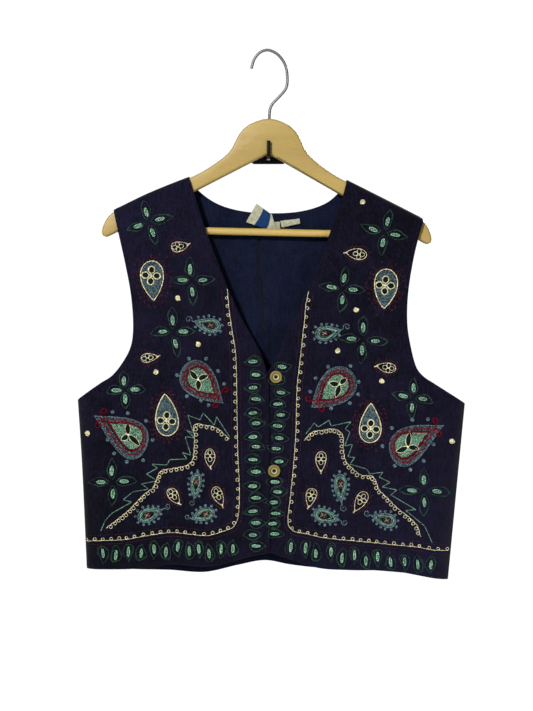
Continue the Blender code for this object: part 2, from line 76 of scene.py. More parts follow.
# Edges of the panels: across, height
LEFT_SHOULDER = ((-206, -72.5), (-163, -51.6), (-131, -38.2), (-106, -28.6))
LEFT_ARMHOLE = (
    (-206, -72.5), (-200.5, -98), (-190, -144.5), (-182, -187), (-179, -228), (-181.5, -253), (-190, -272),
    (-206, -293), (-222, -303.5), (-254, -326),
)
LEFT_SIDE = ((-254, -326), (-248.5, -410), (-242, -549))
LEFT_NECK = (
    (-106, -28.6), (-98.5, -52.5), (-85, -96), (-66.5, -146), (-52, -182), (-36.5, -216), (-10, -265),
    (0.6, -299),
)
LEFT_CENTRE = ((0.6, -299), (1.4, -410), (2, -527))
LEFT_HEM = (
    (-242, -549), (-225, -549), (-183, -548.6), (-156, -546.6), (-130, -542.5), (-82, -545.3), (-57, -541.2),
    (-31, -534.1), (2, -527),
)
UNDERLAP = 13.0
RIGHT_SHOULDER = ((204.2, -83.6), (199.5, -80.9), (156, -58.6), (104.5, -32.6))
RIGHT_ARMHOLE = (
    (204.2, -83.6), (205, -90), (200, -106), (191, -144.5), (184.5, -187), (183.5, -224), (187, -250.5),
    (195, -282), (204, -294), (218, -303.5), (261.5, -331),
)
RIGHT_SIDE = ((261.5, -331), (253.5, -413), (239, -563.5))
RIGHT_NECK = (
    (104.5, -32.6), (97.8, -57.6), (81.2, -104.5), (67.4, -146.1), (49.5, -183.1), (37.6, -212.2),
    (20.5, -246.6), (3.3, -282.2), (-UNDERLAP, -303),
)
RIGHT_CENTRE = ((-UNDERLAP, -303), (-UNDERLAP, -410), (-UNDERLAP, -524))
RIGHT_HEM = (
    (239, -563.5), (218, -560.8), (163, -551.2), (107, -549.9), (65, -546.9), (22, -534.1), (4.6, -527.5),
    (-UNDERLAP, -524),
)
BACK_NECK = (
    (-106, -28.6), (-93.1, -46.6), (-67.7, -64), (-35.5, -73.4), (4.7, -76.3), (44.9, -73.4), (77.1, -62.7),
    (97.2, -45.2), (104.5, -32.6),
)
BACK_HEM = (
    (-242, -549), (-186, -553.2), (-132, -554.5), (-85, -557.2), (-41, -547.8), (-5, -541.5), (29, -547.2),
    (66, -551.4), (140, -555), (239, -563.5),
)
ARMHOLE_SHARE = 0.57
NECK_STARTS = 0.23
NECK_ENDS = 0.77
BACK_WIDTH = 482.0
PANEL_DROP = 525.0

# Where the right front passes under the left one
LAP_STEP = 3.0
LAP_INNER = 3.0
LAP_OUTER = 15.0

# Large folds: from across, from height, to across, to height, width, rise
FRONT_FOLDS = (
    (-168, -80, -150, -300, 17, 2.4),
    (-128, -120, -96, -330, 15, -1.8),
    (-205, -330, -214, -545, 22, 2.2),
    (-140, -400, -130, -560, 20, -3),
    (-82, -430, -84, -560, 18, 2.6),
    (-30, -470, -24, -545, 14, -1.6),
    (172, -90, 158, -300, 18, 2.2),
    (122, -110, 96, -320, 15, -1.8),
    (214, -340, 205, -560, 22, 2.6),
    (150, -380, 140, -565, 20, -2.8),
    (88, -420, 84, -560, 18, 2.6),
    (36, -470, 40, -550, 14, -1.8),
)
BACK_FOLDS = (
    (-21, -84, -17, -320, 9, 2.2),
    (-4, -190, 0, -420, 46, 6),
    (57, -95, 44, -350, 9, -2.2),
    (-64, -240, -80, -540, 20, 2.4),
    (30, -380, 34, -545, 16, 2.2),
    (118, -160, 108, -420, 18, 2),
    (-150, -120, -140, -330, 18, 1.8),
    (172, -380, 178, -555, 20, 2.6),
    (-190, -400, -186, -550, 20, 2),
)
# Small creases, in the same columns
FRONT_CREASES = (
    (-196, -88, -150, -112, 6, -0.7),
    (-192, -120, -158, -128, 5, 0.5),
    (-178, -236, -120, -262, 7, -0.8),
    (-184, -262, -140, -300, 6, 0.7),
    (-206, -300, -176, -342, 7, -0.9),
    (-232, -330, -200, -380, 8, 0.8),
    (-236, -420, -228, -520, 7, -0.9),
    (-190, -470, -196, -546, 8, 0.9),
    (-112, -480, -108, -548, 7, 0.9),
    (-60, -300, -36, -420, 8, -0.7),
    (-24, -330, -16, -470, 6, 0.6),
    (-52, -500, -44, -542, 6, 0.8),
    (-87, -420, -84, -552, 4.5, -1.6),
    (-88, -110, -50, -210, 6, 0.6),
    (194, -100, 150, -124, 6, -0.7),
    (186, -136, 150, -142, 5, 0.5),
    (182, -232, 128, -262, 7, -0.8),
    (188, -262, 146, -306, 6, 0.7),
    (212, -306, 186, -350, 7, -0.9),
    (240, -336, 214, -392, 8, 0.8),
    (240, -430, 232, -540, 7, -0.9),
    (180, -470, 176, -552, 8, 0.9),
    (114, -480, 112, -548, 7, -0.8),
    (62, -300, 44, -420, 8, -0.7),
    (26, -330, 22, -480, 6, 0.6),
    (84, -110, 50, -220, 6, 0.6),
)
BACK_CREASES = (
    (-13.8, -86, -4, -262, 2.4, -4.4),
    (2, -205, 6, -320, 3, -3),
    (-70, -88, -36, -74, 2.6, -1.1),
    (-88, -112, -64, -160, 6, 0.9),
    (-40, -120, -34, -230, 7, -1),
    (14, -130, 10, -250, 6, 1),
    (34, -120, 26, -210, 5, -0.8),
    (74, -108, 60, -190, 6, 1),
    (-110, -180, -120, -320, 9, -1),
    (-6, -260, -2, -420, 9, -1.2),
    (70, -300, 84, -520, 11, -1.3),
    (150, -220, 152, -380, 10, -1.1),
    (-176, -300, -168, -420, 10, -1.1),
    (-112, -400, -118, -548, 10, 1.1),
    (210, -340, 212, -480, 9, -1),
    (-222, -340, -220, -470, 9, 0.9),
    (130, -430, 128, -552, 9, 1.1),
    (-30, -430, -36, -545, 9, 1.1),
)
FOLD_FADE = 0.22

# ---------------------------------------------------------------------------------------------------------
# The embroidery, laid out on the plane FACE_DEPTH in front of the wall and seen from VIEW_POINT

VIEW_POINT = (-2.66, -2000, -267.05)
FACE_DEPTH = 40.0

# Four-petal flowers: centre, then the points of the upper, right, lower and left petals
FLOWERS = (
    ((-159, -91), (-164.5, -63), (-125.5, -84), (-148.5, -121), (-187, -102.5)),
    ((-101, -167.5), (-103.5, -137), (-70.5, -166), (-98.5, -200.5), (-127.5, -168.5)),
    ((-126, -236), (-128, -203), (-97, -234.5), (-119.5, -269), (-154.5, -237.5)),
    ((-189, -312.5), (-191, -287), (-161.5, -311.5), (-188, -337.5), (-214, -314.5)),
    ((-206, -434), (-205.5, -402.5), (-173.5, -432.5), (-207.5, -467), (-238.5, -434)),
    ((153, -104), (160.5, -74.5), (184, -110.5), (148.5, -134.5), (122.5, -95)),
    ((97.5, -179.5), (102.5, -149), (127.5, -181), (95, -209.5), (67.5, -175.5)),
    ((125.5, -245.5), (126, -213.5), (159, -248.5), (122.5, -277), (91.5, -242.5)),
    ((191.5, -322.5), (191.5, -295.5), (217, -328.5), (189.5, -351), (162.5, -318.5)),
    ((206, -445), (206, -416), (241, -448.5), (205, -479), (171, -443.5)),
)
PETAL_WIDTH = 12.5
PETAL_FILL = (13, 5.9)

# Large blue teardrops: point, heel, centre of the four rings, width
BLUE_DROPS = (
    ((-151.5, -194), (-155, -142), (-155, -161.5), 30),
    ((-137, -318.5), (-132.5, -373), (-134.8, -353.5), 30.4),
    ((152.5, -205), (156, -153.5), (154, -174.5), 30.5),
    ((135.5, -330.5), (133.5, -382), (134.5, -364), 28.5),
)
# Small cream teardrops: point, heel, width
CREAM_DROPS = (
    ((-105.5, -121), (-128, -125), 13.5),
    ((-145.5, -268.5), (-168, -271.5), 11.5),
    ((-77, -415), (-77.5, -390.5), 13.5),
    ((-118, -463), (-131.5, -443), 13.5),
    ((-60.5, -465.5), (-71.5, -441), 13.5),
    ((102, -131), (129.5, -134.5), 14.5),
    ((142.5, -280.5), (167.5, -285), 13),
    ((69, -420.5), (69.5, -394), 14),
    ((53, -467.5), (58.5, -442.5), 14),
    ((113.5, -472.5), (128.5, -447.5), 14.5),
)
# Small blue paisleys: point of the body, heel, width, middle of the curled tail, way the tail curls
BLUE_PAISLEYS = (
    ((-98, -222.5), (-64, -230), 23, (-105.5, -219.5), 1),
    ((-139.5, -470), (-172, -482.5), 21, (-133.5, -466), 1),
    ((-98, -455.5), (-94, -421.5), 17.5, (-101.5, -461.5), -1),
    ((-101.5, -482.5), (-72, -473), 21, (-107, -480), -1),
    ((96, -233.5), (62, -240), 23, (103.5, -229.5), -1),
    ((136.5, -478.5), (168, -488), 22, (130, -475), -1),
    ((96, -461), (94.5, -424), 20, (99.5, -468.5), 1),
    ((93.5, -484.5), (60.5, -474.5), 22.5, (100.5, -487), 1),
)
# Large paisleys: point, heel, width, bend, sharpness, size of the inner form as a share of the outer one,
# where it is centred, sprig's centre
GREAT_PAISLEYS = (
    ((-60, -330), (-110, -280), 44, 10, 1.2, 0.65, (-90, -299), (-93, -299)),
    ((-230, -347), (-165, -395), 48, 35, 1.5, 0.65, (-178, -371), (-185, -372)),
    ((57, -335), (110, -290), 46, -5, 1, 0.65, (90, -308), (94, -305)),
    ((231, -359), (165, -405), 46, -35, 1.5, 0.65, (178, -384), (184, -388)),
)
# Sprigs of three leaves: for each large paisley, the leaf points about the sprig's centre
SPRIGS = (
    ((-11, 12.5), (13.8, 6), (0.3, -14.5)),
    ((-0.6, 16.4), (-9.8, -6.5), (15.5, -14.8)),
    ((9.8, 8.1), (-14.3, 1.9), (-5.5, -17.6)),
    ((2.5, 20), (-16.1, -6), (15, -2.5)),
)
# Red tendrils at the points of the large paisleys: start, middle of the curl, way it curls
TENDRILS = (
    ((-66, -322.5), (-56.5, -312.5), -1),
    ((-66, -322.5), (-70.5, -332.5), -1),
    ((-222.5, -350), (-217, -340), -1),
    ((-222.5, -350), (-225, -359.5), 1),
    ((67, -325.5), (52.5, -324), -1),
    ((67, -325.5), (70.5, -337.5), 1),
    ((220.5, -362), (219.5, -353), 1),
    ((220.5, -362), (224.5, -370.5), -1),
)
BLUE_DOTS = (
    (-105, -271.5), (-82.5, -271.5), (-66.5, -287.5), (-59, -304.5), (-121, -293), (-107.5, -320.5),
    (-89, -327), (-79, -332.5), (-205.5, -341.5), (-185.5, -343), (-161.5, -353.5), (-152.5, -378.5),
    (-165.5, -405), (-187, -407.5), (-204, -396), (-212, -378.5), (78.5, -282), (108, -281), (119.5, -302),
    (118, -318.5), (107.5, -330), (82.5, -336.5), (55, -315), (62.5, -297), (189.5, -352), (210.5, -351),
    (163, -363), (151, -387), (167, -413), (187.5, -418), (204.5, -406.5), (218, -384.5),
)
CREAM_KNOTS = (
    (-119.5, -191), (-93, -252.5), (-149, -289), (-238.5, -369.5), (124.5, -64.5), (115.5, -206.5),
    (91, -261), (149.5, -300.5), (242, -380),
)
# The cream line with loops that runs round each front
LEFT_BORDER = (
    (-54.5, -180), (-53, -198), (-51.5, -212.5), (-49.5, -225.5), (-47.5, -239.5), (-45, -253), (-43, -274.5),
    (-41.5, -355), (-40.5, -402.5), (-39, -430), (-38.5, -448.5), (-39.5, -473), (-41.5, -484), (-47, -493.5),
    (-59, -498.5), (-77, -504), (-86.5, -504.5), (-105, -502.5), (-128.5, -500.5), (-160.5, -504.5),
    (-188, -509.5), (-216, -511), (-240, -511.5),
)
RIGHT_BORDER = (
    (53, -183), (49.5, -200.5), (48, -219), (45.5, -239.5), (44, -254.5), (42, -271.5), (40, -290),
    (38.5, -300.5), (37.5, -320.5), (37, -337.5), (36.5, -365.5), (34.5, -396), (32.5, -419.5),
    (30.5, -439.5), (28.5, -459), (26, -480), (26.5, -490.5), (33, -498.5), (49.5, -502), (68, -506.5),
    (86.5, -509), (105, -510.8), (123.5, -512.4), (151, -515), (161.5, -516.4), (180, -518), (198.5, -519.8),
    (208, -521.9), (220, -523.7), (237, -524),
)
# Loops of a line: radius, first and last pitch, sway of the line between them
BORDER_LOOPS = (1.85, 10.8, 10.8, 0.35)
# The coiled cream line that rises like a hill over the small motifs
LEFT_HILL = (
    (-212, -496), (-201.5, -488), (-183, -473), (-161.5, -451), (-151, -443.5), (-146, -432.5),
    (-140.5, -421), (-132.5, -419.5), (-118, -417), (-106.5, -414), (-98.5, -406.5), (-96, -392),
    (-95.5, -373.5), (-96, -360), (-84, -361.5), (-74.5, -363), (-65.5, -367.5), (-59, -374), (-53.5, -378.5),
)
RIGHT_HILL = (
    (49.5, -380), (58.5, -370.5), (72, -368), (86, -366.5), (95.5, -372.5), (96.5, -389), (99.5, -406.5),
    (111, -419.5), (122.5, -427.5), (136.5, -429), (144, -445.5), (155, -456.5), (169.5, -471), (183, -481.5),
    (194.5, -493.5), (198.5, -506.5),
)
HILL_LOOPS = (2.15, 5.9, 7.2, 0.6)
HILL_SHIFT = 2.0
LOOP_STEP = 1.2
# The wavy red line in the large paisleys
WAVE_STEP = 1.2
WAVE_LENGTH = 8.4
WAVE_REACH = 1.3
# The thin zigzag outside the hill
LEFT_ZIGZAG = (
    (-221, -498), (-216, -485.5), (-206.5, -475), (-180.5, -460.5), (-192, -457.5), (-179, -447),
    (-158.5, -443.5), (-167.5, -436.5), (-147, -432.5), (-161, -423.5), (-146.5, -415.5), (-154, -410.5),
    (-134, -411.5), (-130.5, -404.5), (-107.5, -403.5), (-114, -395), (-102.5, -398.5), (-110, -374),
    (-97, -376), (-108.5, -365.5), (-99, -369.5), (-106.5, -346), (-90, -352), (-86.5, -342.5), (-71.5, -359),
    (-68.5, -348), (-52, -373.5),
)
RIGHT_ZIGZAG = (
    (50, -369.5), (60.5, -356), (65.5, -361.5), (80, -352.5), (82.5, -360), (109, -354.5), (101, -364),
    (107.5, -368), (100.5, -386.5), (111, -384), (105, -401), (114, -401.5), (107.5, -410.5), (130, -417),
    (133.5, -423.5), (151, -421), (146, -427.5), (160.5, -434.5), (150, -440.5), (169.5, -444.5),
    (161.5, -451), (194.5, -470.5), (181, -471.5), (206, -492), (216, -514),
)
# Leaves of the borders by the middles of their fills; the leaves' points alternate
LEFT_LEAVES = (
    (-20.5, -275), (-16.5, -292.5), (-20.5, -309.5), (-16.5, -324.5), (-20.5, -343), (-16.5, -356.5),
    (-20.5, -374.5), (-16.5, -387.5), (-20.5, -404.5), (-16.5, -420.5), (-20.5, -439.5), (-16.5, -455),
    (-20.5, -472.5), (-16.5, -488), (-20.5, -504), (-16.5, -518.5),
)
RIGHT_LEAVES = (
    (18, -282), (13, -299.5), (16.5, -316), (12.5, -331), (16.5, -345.5), (12, -360), (14, -376), (10, -390),
    (14, -407), (8.5, -434), (12, -447), (7, -461), (9.5, -475.5), (5.5, -489), (8, -502.5),
)
LEFT_HEM_LEAVES = (
    (-218.5, -528), (-201.5, -530.5), (-185, -526), (-168, -528), (-151, -522.5), (-135.5, -526.5),
    (-119.5, -519.5), (-104.5, -525), (-92, -522.5), (-78.5, -528.5), (-62.5, -522.5), (-47, -522),
)
RIGHT_HEM_LEAVES = (
    (29.5, -520), (49, -521), (62.5, -528.5), (82.5, -526), (97, -534.5), (113.5, -530.5), (128.5, -538),
    (144.1, -532.6), (161.2, -539.7), (179.8, -539), (197.1, -543.2), (214.4, -543.2),
)
# Length and width of the filled ovals
BAND_LEAF = (12.4, 5.2)
HEM_LEAF = (13.4, 5)

# Threads: length of a stitch, width of a chain, width of a single line, height, and how much of the colour
# is left in its darkest flecks
THREADS = {
    "ivory": (1.4, 1.5, 0.88, 1.1, 0.55),
    "mint": (2, 1.7, 1.2, 0.9, 0.35),
    "leaf_green": (1.9, 1.6, 1.15, 0.7, 0.25),
    "deep_green": (2.1, 1.6, 1.2, 0.5, 0.4),
    "steel_blue": (1.8, 1.7, 1.3, 0.6, 0.2),
    "red": (1.8, 2.5, 1.4, 2, 0.6),
    "maroon": (1.7, 1.4, 0.95, 0.6, 0.35),
    "pale_green": (2, 1.5, 1.15, 0.7, 0.3),
}
FILL_SPACING = 1.25
PATTERN_SEED = 11


# ---------------------------------------------------------------------------------------------------------
# Curves and surfaces


def curve_through(points):
    """A smooth curve through the points, as a function of shares of its length."""
    spots = np.array(points, float)
    count = len(spots)
    reach = np.concatenate(([0.0], np.cumsum(np.linalg.norm(np.diff(spots, axis=0), axis=1))))
    low = np.maximum(np.arange(count) - 1, 0)
    high = np.minimum(np.arange(count) + 1, count - 1)
    slopes = (spots[high] - spots[low]) / (reach[high] - reach[low])[:, None]

    def at(shares):
        distance = np.clip(np.asarray(shares, float), 0.0, 1.0) * reach[-1]
        i = np.clip(np.searchsorted(reach, distance) - 1, 0, count - 2)
        span = reach[i + 1] - reach[i]
        t = (distance - reach[i]) / span
        start = ((1 + 2 * t) * (1 - t) ** 2)[..., None]
        leave = (t * (1 - t) ** 2 * span)[..., None]
        end = (t * t * (3 - 2 * t))[..., None]
        arrive = (t * t * (t - 1) * span)[..., None]
        return spots[i] * start + slopes[i] * leave + spots[i + 1] * end + slopes[i + 1] * arrive

    return at


def joined(pieces, shares):
    """Curves one after another, where shares are the places at which one gives way to the next."""
    limits = (0.0, *shares, 1.0)

    def at(places):
        places = np.asarray(places, float)
        out = np.zeros(places.shape + (2,))
        for i, piece in enumerate(pieces):
            here = (places > limits[i]) | (i == 0)
            spots = piece((places - limits[i]) / (limits[i + 1] - limits[i]))
            out[here] = spots[here]
        return out

    return at


def patch(top, bottom, left, right, columns, rows):
    """Points of the surface spanned by four edges, where columns holds each row's shares across it."""
    u = columns[..., None]
    v = rows[:, None, None]
    ends = np.array([0.0, 1.0])
    sides = left(rows)[:, None, :] * (1 - u) + right(rows)[:, None, :] * u
    downs = top(columns) * (1 - v) + bottom(columns) * v
    upper = left(ends)[0] * (1 - u) + right(ends)[0] * u
    lower = left(ends)[1] * (1 - u) + right(ends)[1] * u
    return sides + downs - (upper * (1 - v) + lower * v)


def eased(t):
    t = np.clip(t, 0.0, 1.0)
    return t * t * (3 - 2 * t)


def table_at(table, height):
    """The second column of a table whose rows go down in height, read between its rows."""
    out = np.full(height.shape, float(table[0][1]))
    for (high, first), (low, second) in zip(table, table[1:]):
        out = np.where(height < high, first + (second - first) * eased((high - height) / (high - low)), out)
    return out


def distance_to(line, points):
    """The distance of each point from a line of points."""
    nearest = np.full(points.shape[:-1], np.inf)
    for start, end in zip(line, line[1:]):
        start = np.array(start, float)
        run = np.array(end, float) - start
        share = np.clip(((points - start) @ run) / (run @ run), 0.0, 1.0)
        nearest = np.minimum(nearest, np.linalg.norm(points - start - share[..., None] * run, axis=-1))
    return nearest


def turned(distance, reach):
    """How far cloth has turned away from a seam, from 0 on the seam to 1 past its reach."""
    left = 1 - np.minimum(distance / reach, 1.0)
    return (1 - left**SEAM_TURN_POWER) ** (1 / SEAM_TURN_POWER)


def fold_depth(folds, points):
    total = np.zeros(points.shape[:-1])
    for across, height, to_across, to_height, width, rise in folds:
        start = np.array((across, height))
        run = np.array((to_across, to_height)) - start
        share = ((points - start) @ run) / (run @ run)
        off = np.linalg.norm(points - start - share[..., None] * run, axis=-1) / width
        total += rise * eased(share / FOLD_FADE) * eased((1 - share) / FOLD_FADE) * np.exp(-off * off)
    return total


def hung_depth(hang, folds, shoulders, sides, points):
    """Depth of a panel's outer face: over the shoulders, down the hang and round to the side seams."""
    free = table_at(hang, points[..., 1]) + fold_depth(folds, points)
    from_shoulder = np.min([distance_to(line, points) for line in shoulders], axis=0) - SEAM_HOLD
    from_side = np.min([distance_to(line, points) for line in sides], axis=0) - SEAM_HOLD
    from_shoulder, from_side = np.maximum(from_shoulder, 0.0), np.maximum(from_side, 0.0)
    over = SHOULDER_SEAM_DEPTH + (free - SHOULDER_SEAM_DEPTH) * turned(from_shoulder, SHOULDER_TURN)
    return SIDE_SEAM_DEPTH + (over - SIDE_SEAM_DEPTH) * turned(from_side, SIDE_TURN)


def seam(points):
    return curve_through(points)(np.linspace(0.0, 1.0, SEAM_STEPS))


LEFT_SHOULDER_SEAM, RIGHT_SHOULDER_SEAM = seam(LEFT_SHOULDER), seam(RIGHT_SHOULDER)
LEFT_SIDE_SEAM, RIGHT_SIDE_SEAM = seam(LEFT_SIDE), seam(RIGHT_SIDE)


FRONT_RELIEF = FRONT_FOLDS + FRONT_CREASES


def left_depth(points):
    return hung_depth(FRONT_HANG, FRONT_RELIEF, (LEFT_SHOULDER_SEAM,), (LEFT_SIDE_SEAM,), points)


def right_depth(points):
    depth = hung_depth(FRONT_HANG, FRONT_RELIEF, (RIGHT_SHOULDER_SEAM,), (RIGHT_SIDE_SEAM,), points)
    return depth - LAP_STEP * eased((LAP_OUTER - points[..., 0]) / (LAP_OUTER - LAP_INNER))


def back_depth(points):
    shoulders = (LEFT_SHOULDER_SEAM, RIGHT_SHOULDER_SEAM)
    sides = (LEFT_SIDE_SEAM, RIGHT_SIDE_SEAM)
    return hung_depth(BACK_HANG, BACK_FOLDS + BACK_CREASES, shoulders, sides, points)


def places(lengths, count, first, last):
    """Rows of shares of each length: chosen distances at its two ends, with even ones between them."""
    lengths = np.asarray(lengths, float)[:, None]
    inner = np.linspace(0.0, 1.0, count + 1)[1:-1]
    between = first[-1] + (lengths - first[-1] - last[-1]) * inner
    ends = lengths - np.array(last[::-1])
    return np.concatenate((np.broadcast_to(first, (len(lengths), len(first))), between, ends), axis=1) / lengths


# ---------------------------------------------------------------------------------------------------------
# Meshes


def in_metres(across, depth, height):
    """A place in the scene, from millimetres across, in front of the wall and up."""
    return (across * MM, -depth * MM, height * MM)


def linked(name, data):
    """A new object in the scene's own collection."""
    made = bpy.data.objects.new(name, data)
    bpy.context.scene.collection.objects.link(made)
    return made


def mesh_from(form, name):
    """A new mesh with what a bmesh holds. The bmesh is freed."""
    mesh = bpy.data.meshes.new(name)
    form.to_mesh(mesh)
    form.free()
    return mesh


def face_outwards(mesh):
    form = bmesh.new()
    form.from_mesh(mesh)
    bmesh.ops.recalc_face_normals(form, faces=form.faces)
    form.to_mesh(mesh)
    form.free()


def sharpened(mesh, degrees):
    """Smooth faces, with every edge that turns further than this kept sharp."""
    mesh.shade_smooth()
    mesh.set_sharp_from_angle(angle=math.radians(degrees))


def mesh_object(name, verts, faces, finish, smooth=True):
    mesh = bpy.data.meshes.new(name)
    mesh.from_pydata([tuple(v) for v in verts], [], faces)
    mesh.validate()
    if smooth:
        mesh.shade_smooth()
    mesh.materials.append(finish)
    return linked(name, mesh)


def grid_normals(points, outward):
    """Unit normals of a grid of points, on the side that outward gives along Y."""
    down = np.gradient(points, axis=0)
    across = np.gradient(points, axis=1)
    normals = np.cross(across, down)
    normals /= np.maximum(np.linalg.norm(normals, axis=-1, keepdims=True), 1e-9)
    if np.sign(normals[..., 1].mean()) != np.sign(outward):
        normals = -normals
    return normals


def shell(name, outer, outward, thickness, finish, coordinates=None):
    """A closed wall of cloth behind a grid of points in millimetres. thickness may differ at each point."""
    normals = grid_normals(outer, outward)
    inner = outer - normals * np.broadcast_to(thickness, outer.shape[:2])[..., None]
    rows, columns = outer.shape[:2]
    verts = np.concatenate((outer.reshape(-1, 3), inner.reshape(-1, 3))) * MM
    index = np.arange(rows * columns).reshape(rows, columns)
    back = index + rows * columns
    faces = []
    for j in range(rows - 1):
        for i in range(columns - 1):
            quad = (index[j, i], index[j + 1, i], index[j + 1, i + 1], index[j, i + 1])
            behind = (back[j, i], back[j, i + 1], back[j + 1, i + 1], back[j + 1, i])
            faces += [quad, behind]
    ring = [*index[0, :-1], *index[:-1, -1], *index[-1, :0:-1], *index[:0:-1, 0]]
    offset = rows * columns
    for a, b in zip(ring, ring[1:] + ring[:1]):
        faces.append((a, b, b + offset, a + offset))
    made = mesh_object(name, verts, [tuple(int(i) for i in face) for face in faces], finish)
    if coordinates is not None:
        layer = made.data.uv_layers.new(name="UVMap")
        both = np.concatenate((coordinates.reshape(-1, 2), coordinates.reshape(-1, 2)))
        loops = np.zeros(len(made.data.loops), int)
        made.data.loops.foreach_get("vertex_index", loops)
        layer.data.foreach_set("uv", both[loops].astype(np.float32).ravel())
    face_outwards(made.data)
    return made


def flat_size(grid):
    """Width, length and area of a grid of points in millimetres laid flat, in metres."""
    across = np.linalg.norm(np.diff(grid, axis=1), axis=-1)
    down = np.linalg.norm(np.diff(grid, axis=0), axis=-1)
    one, two = grid[1:, 1:] - grid[:-1, :-1], grid[1:, :-1] - grid[:-1, 1:]
    area = np.linalg.norm(np.cross(one, two), axis=-1).sum() / 2
    return across.sum(axis=1).max() * MM, down.sum(axis=0).max() * MM, area * MM * MM


def evaluated_copy(source, name, finish):
    """A plain mesh of an object with its modifiers applied and its place taken into the mesh."""
    bpy.context.view_layer.update()
    graph = bpy.context.evaluated_depsgraph_get()
    mesh = bpy.data.meshes.new_from_object(source.evaluated_get(graph), depsgraph=graph)
    mesh.transform(source.matrix_world)
    old = source.data
    bpy.data.objects.remove(source)
    made = linked(name, mesh)
    mesh.name = name
    mesh.materials.clear()
    mesh.materials.append(finish)
    if old.users == 0 and isinstance(old, bpy.types.Mesh):
        bpy.data.meshes.remove(old)
    return made


def carry(piece, slot, *nodes):
    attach(piece, ROOT)
    if nodes:
        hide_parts(*nodes)
    return piece


# ---------------------------------------------------------------------------------------------------------
# Node trees


class Signal:
    """An output socket. Arithmetic on it adds Math nodes to its tree."""

    def __init__(self, nodes, socket):
        self.nodes = nodes
        self.socket = socket

    def other(self, output):
        """Another output of the node that this one belongs to."""
        return Signal(self.nodes, self.socket.node.outputs[output])

    def math(self, operation, *values, **settings):
        inputs = dict(enumerate(values))
        return self.nodes.add("ShaderNodeMath", {"operation": operation, **settings}, inputs)

    def __add__(self, other):
        return self.math("ADD", self, other)

    __radd__ = __add__

    def __sub__(self, other):
        return self.math("SUBTRACT", self, other)

    def __rsub__(self, other):
        return self.math("SUBTRACT", other, self)

    def __mul__(self, other):
        return self.math("MULTIPLY", self, other)

    __rmul__ = __mul__

    def clamped(self):
        return self.math("ADD", self, 0.0, use_clamp=True)

    def step(self, low, high):
        """0 below low and 1 above high, with a soft change between them."""
        settings = {"interpolation_type": "SMOOTHSTEP"}
        inputs = {"Value": self, "From Min": low, "From Max": high}
        return self.nodes.add("ShaderNodeMapRange", settings, inputs)


class Nodes:
    """The nodes of one tree, of a material or of geometry."""

    def __init__(self, tree):
        self.tree = tree

    def add(self, kind, settings=None, inputs=None, output=0):
        node = self.tree.nodes.new(kind)
        for name, value in (settings or {}).items():
            setattr(node, name, value)
        for name, value in (inputs or {}).items():
            self.feed(node.inputs[name], value)
        return Signal(self, node.outputs[output])

    def vector(self, operation, first, second):
        """Vector maths, where SCALE takes a number as its second value."""
        inputs = {0: first, "Scale" if operation == "SCALE" else 1: second}
        return self.add("ShaderNodeVectorMath", {"operation": operation}, inputs)

    def stored(self, geometry, name, kind, value):
        settings = {"data_type": kind, "domain": "POINT"}
        inputs = {"Geometry": geometry, "Name": name, "Value": value}
        return self.add("GeometryNodeStoreNamedAttribute", settings, inputs)

    def named(self, name, kind):
        return self.add("GeometryNodeInputNamedAttribute", {"data_type": kind}, {"Name": name})

    def form_of(self, item, space):
        settings = {"transform_space": space}
        return self.add("GeometryNodeObjectInfo", settings, {"Object": item}, output="Geometry")

    def varied(self, low, high, seed):
        """A random number at each point."""
        inputs = {2: low, 3: high, "Seed": seed}
        return self.add("FunctionNodeRandomValue", {"data_type": "FLOAT"}, inputs, output=1)

    def feed(self, socket, value):
        if isinstance(value, Signal):
            self.tree.links.new(value.socket, socket)
        elif socket.type == "RGBA" and len(value) == 3:
            socket.default_value = (*value, 1.0)
        else:
            socket.default_value = value


class Finish(Nodes):
    """A material made of nodes round one Principled shader."""

    def __init__(self, name, constants):
        self.material = bpy.data.materials.new(name)
        self.material.use_nodes = True
        super().__init__(self.material.node_tree)
        self.shader = self.tree.nodes["Principled BSDF"]
        for socket, value in constants.items():
            self.feed(self.shader.inputs[socket], value)
        self.place = self.add("ShaderNodeTexCoord", output="Object")

    def stretched(self, scale):
        return self.add("ShaderNodeMapping", {}, {"Vector": self.place, "Scale": scale})

    def noise(self, scale, detail=2.0, roughness=0.5, where=None, distortion=0.0):
        inputs = {
            "Vector": where or self.place,
            "Scale": scale,
            "Detail": detail,
            "Roughness": roughness,
            "Distortion": distortion,
        }
        return self.add("ShaderNodeTexNoise", {}, inputs)

    def mixed(self, factor, first, second):
        return self.add("ShaderNodeMix", {"data_type": "RGBA"}, {0: factor, 6: first, 7: second}, output=2)

    def colour(self, value):
        self.feed(self.shader.inputs["Base Color"], value)

    def rough(self, value):
        self.feed(self.shader.inputs["Roughness"], value)

    def bump(self, height, distance, strength=1.0):
        inputs = {"Height": height, "Distance": distance, "Strength": strength}
        normal = self.add("ShaderNodeBump", {}, inputs)
        self.feed(self.shader.inputs["Normal"], normal)


# ---------------------------------------------------------------------------------------------------------
# Finishes


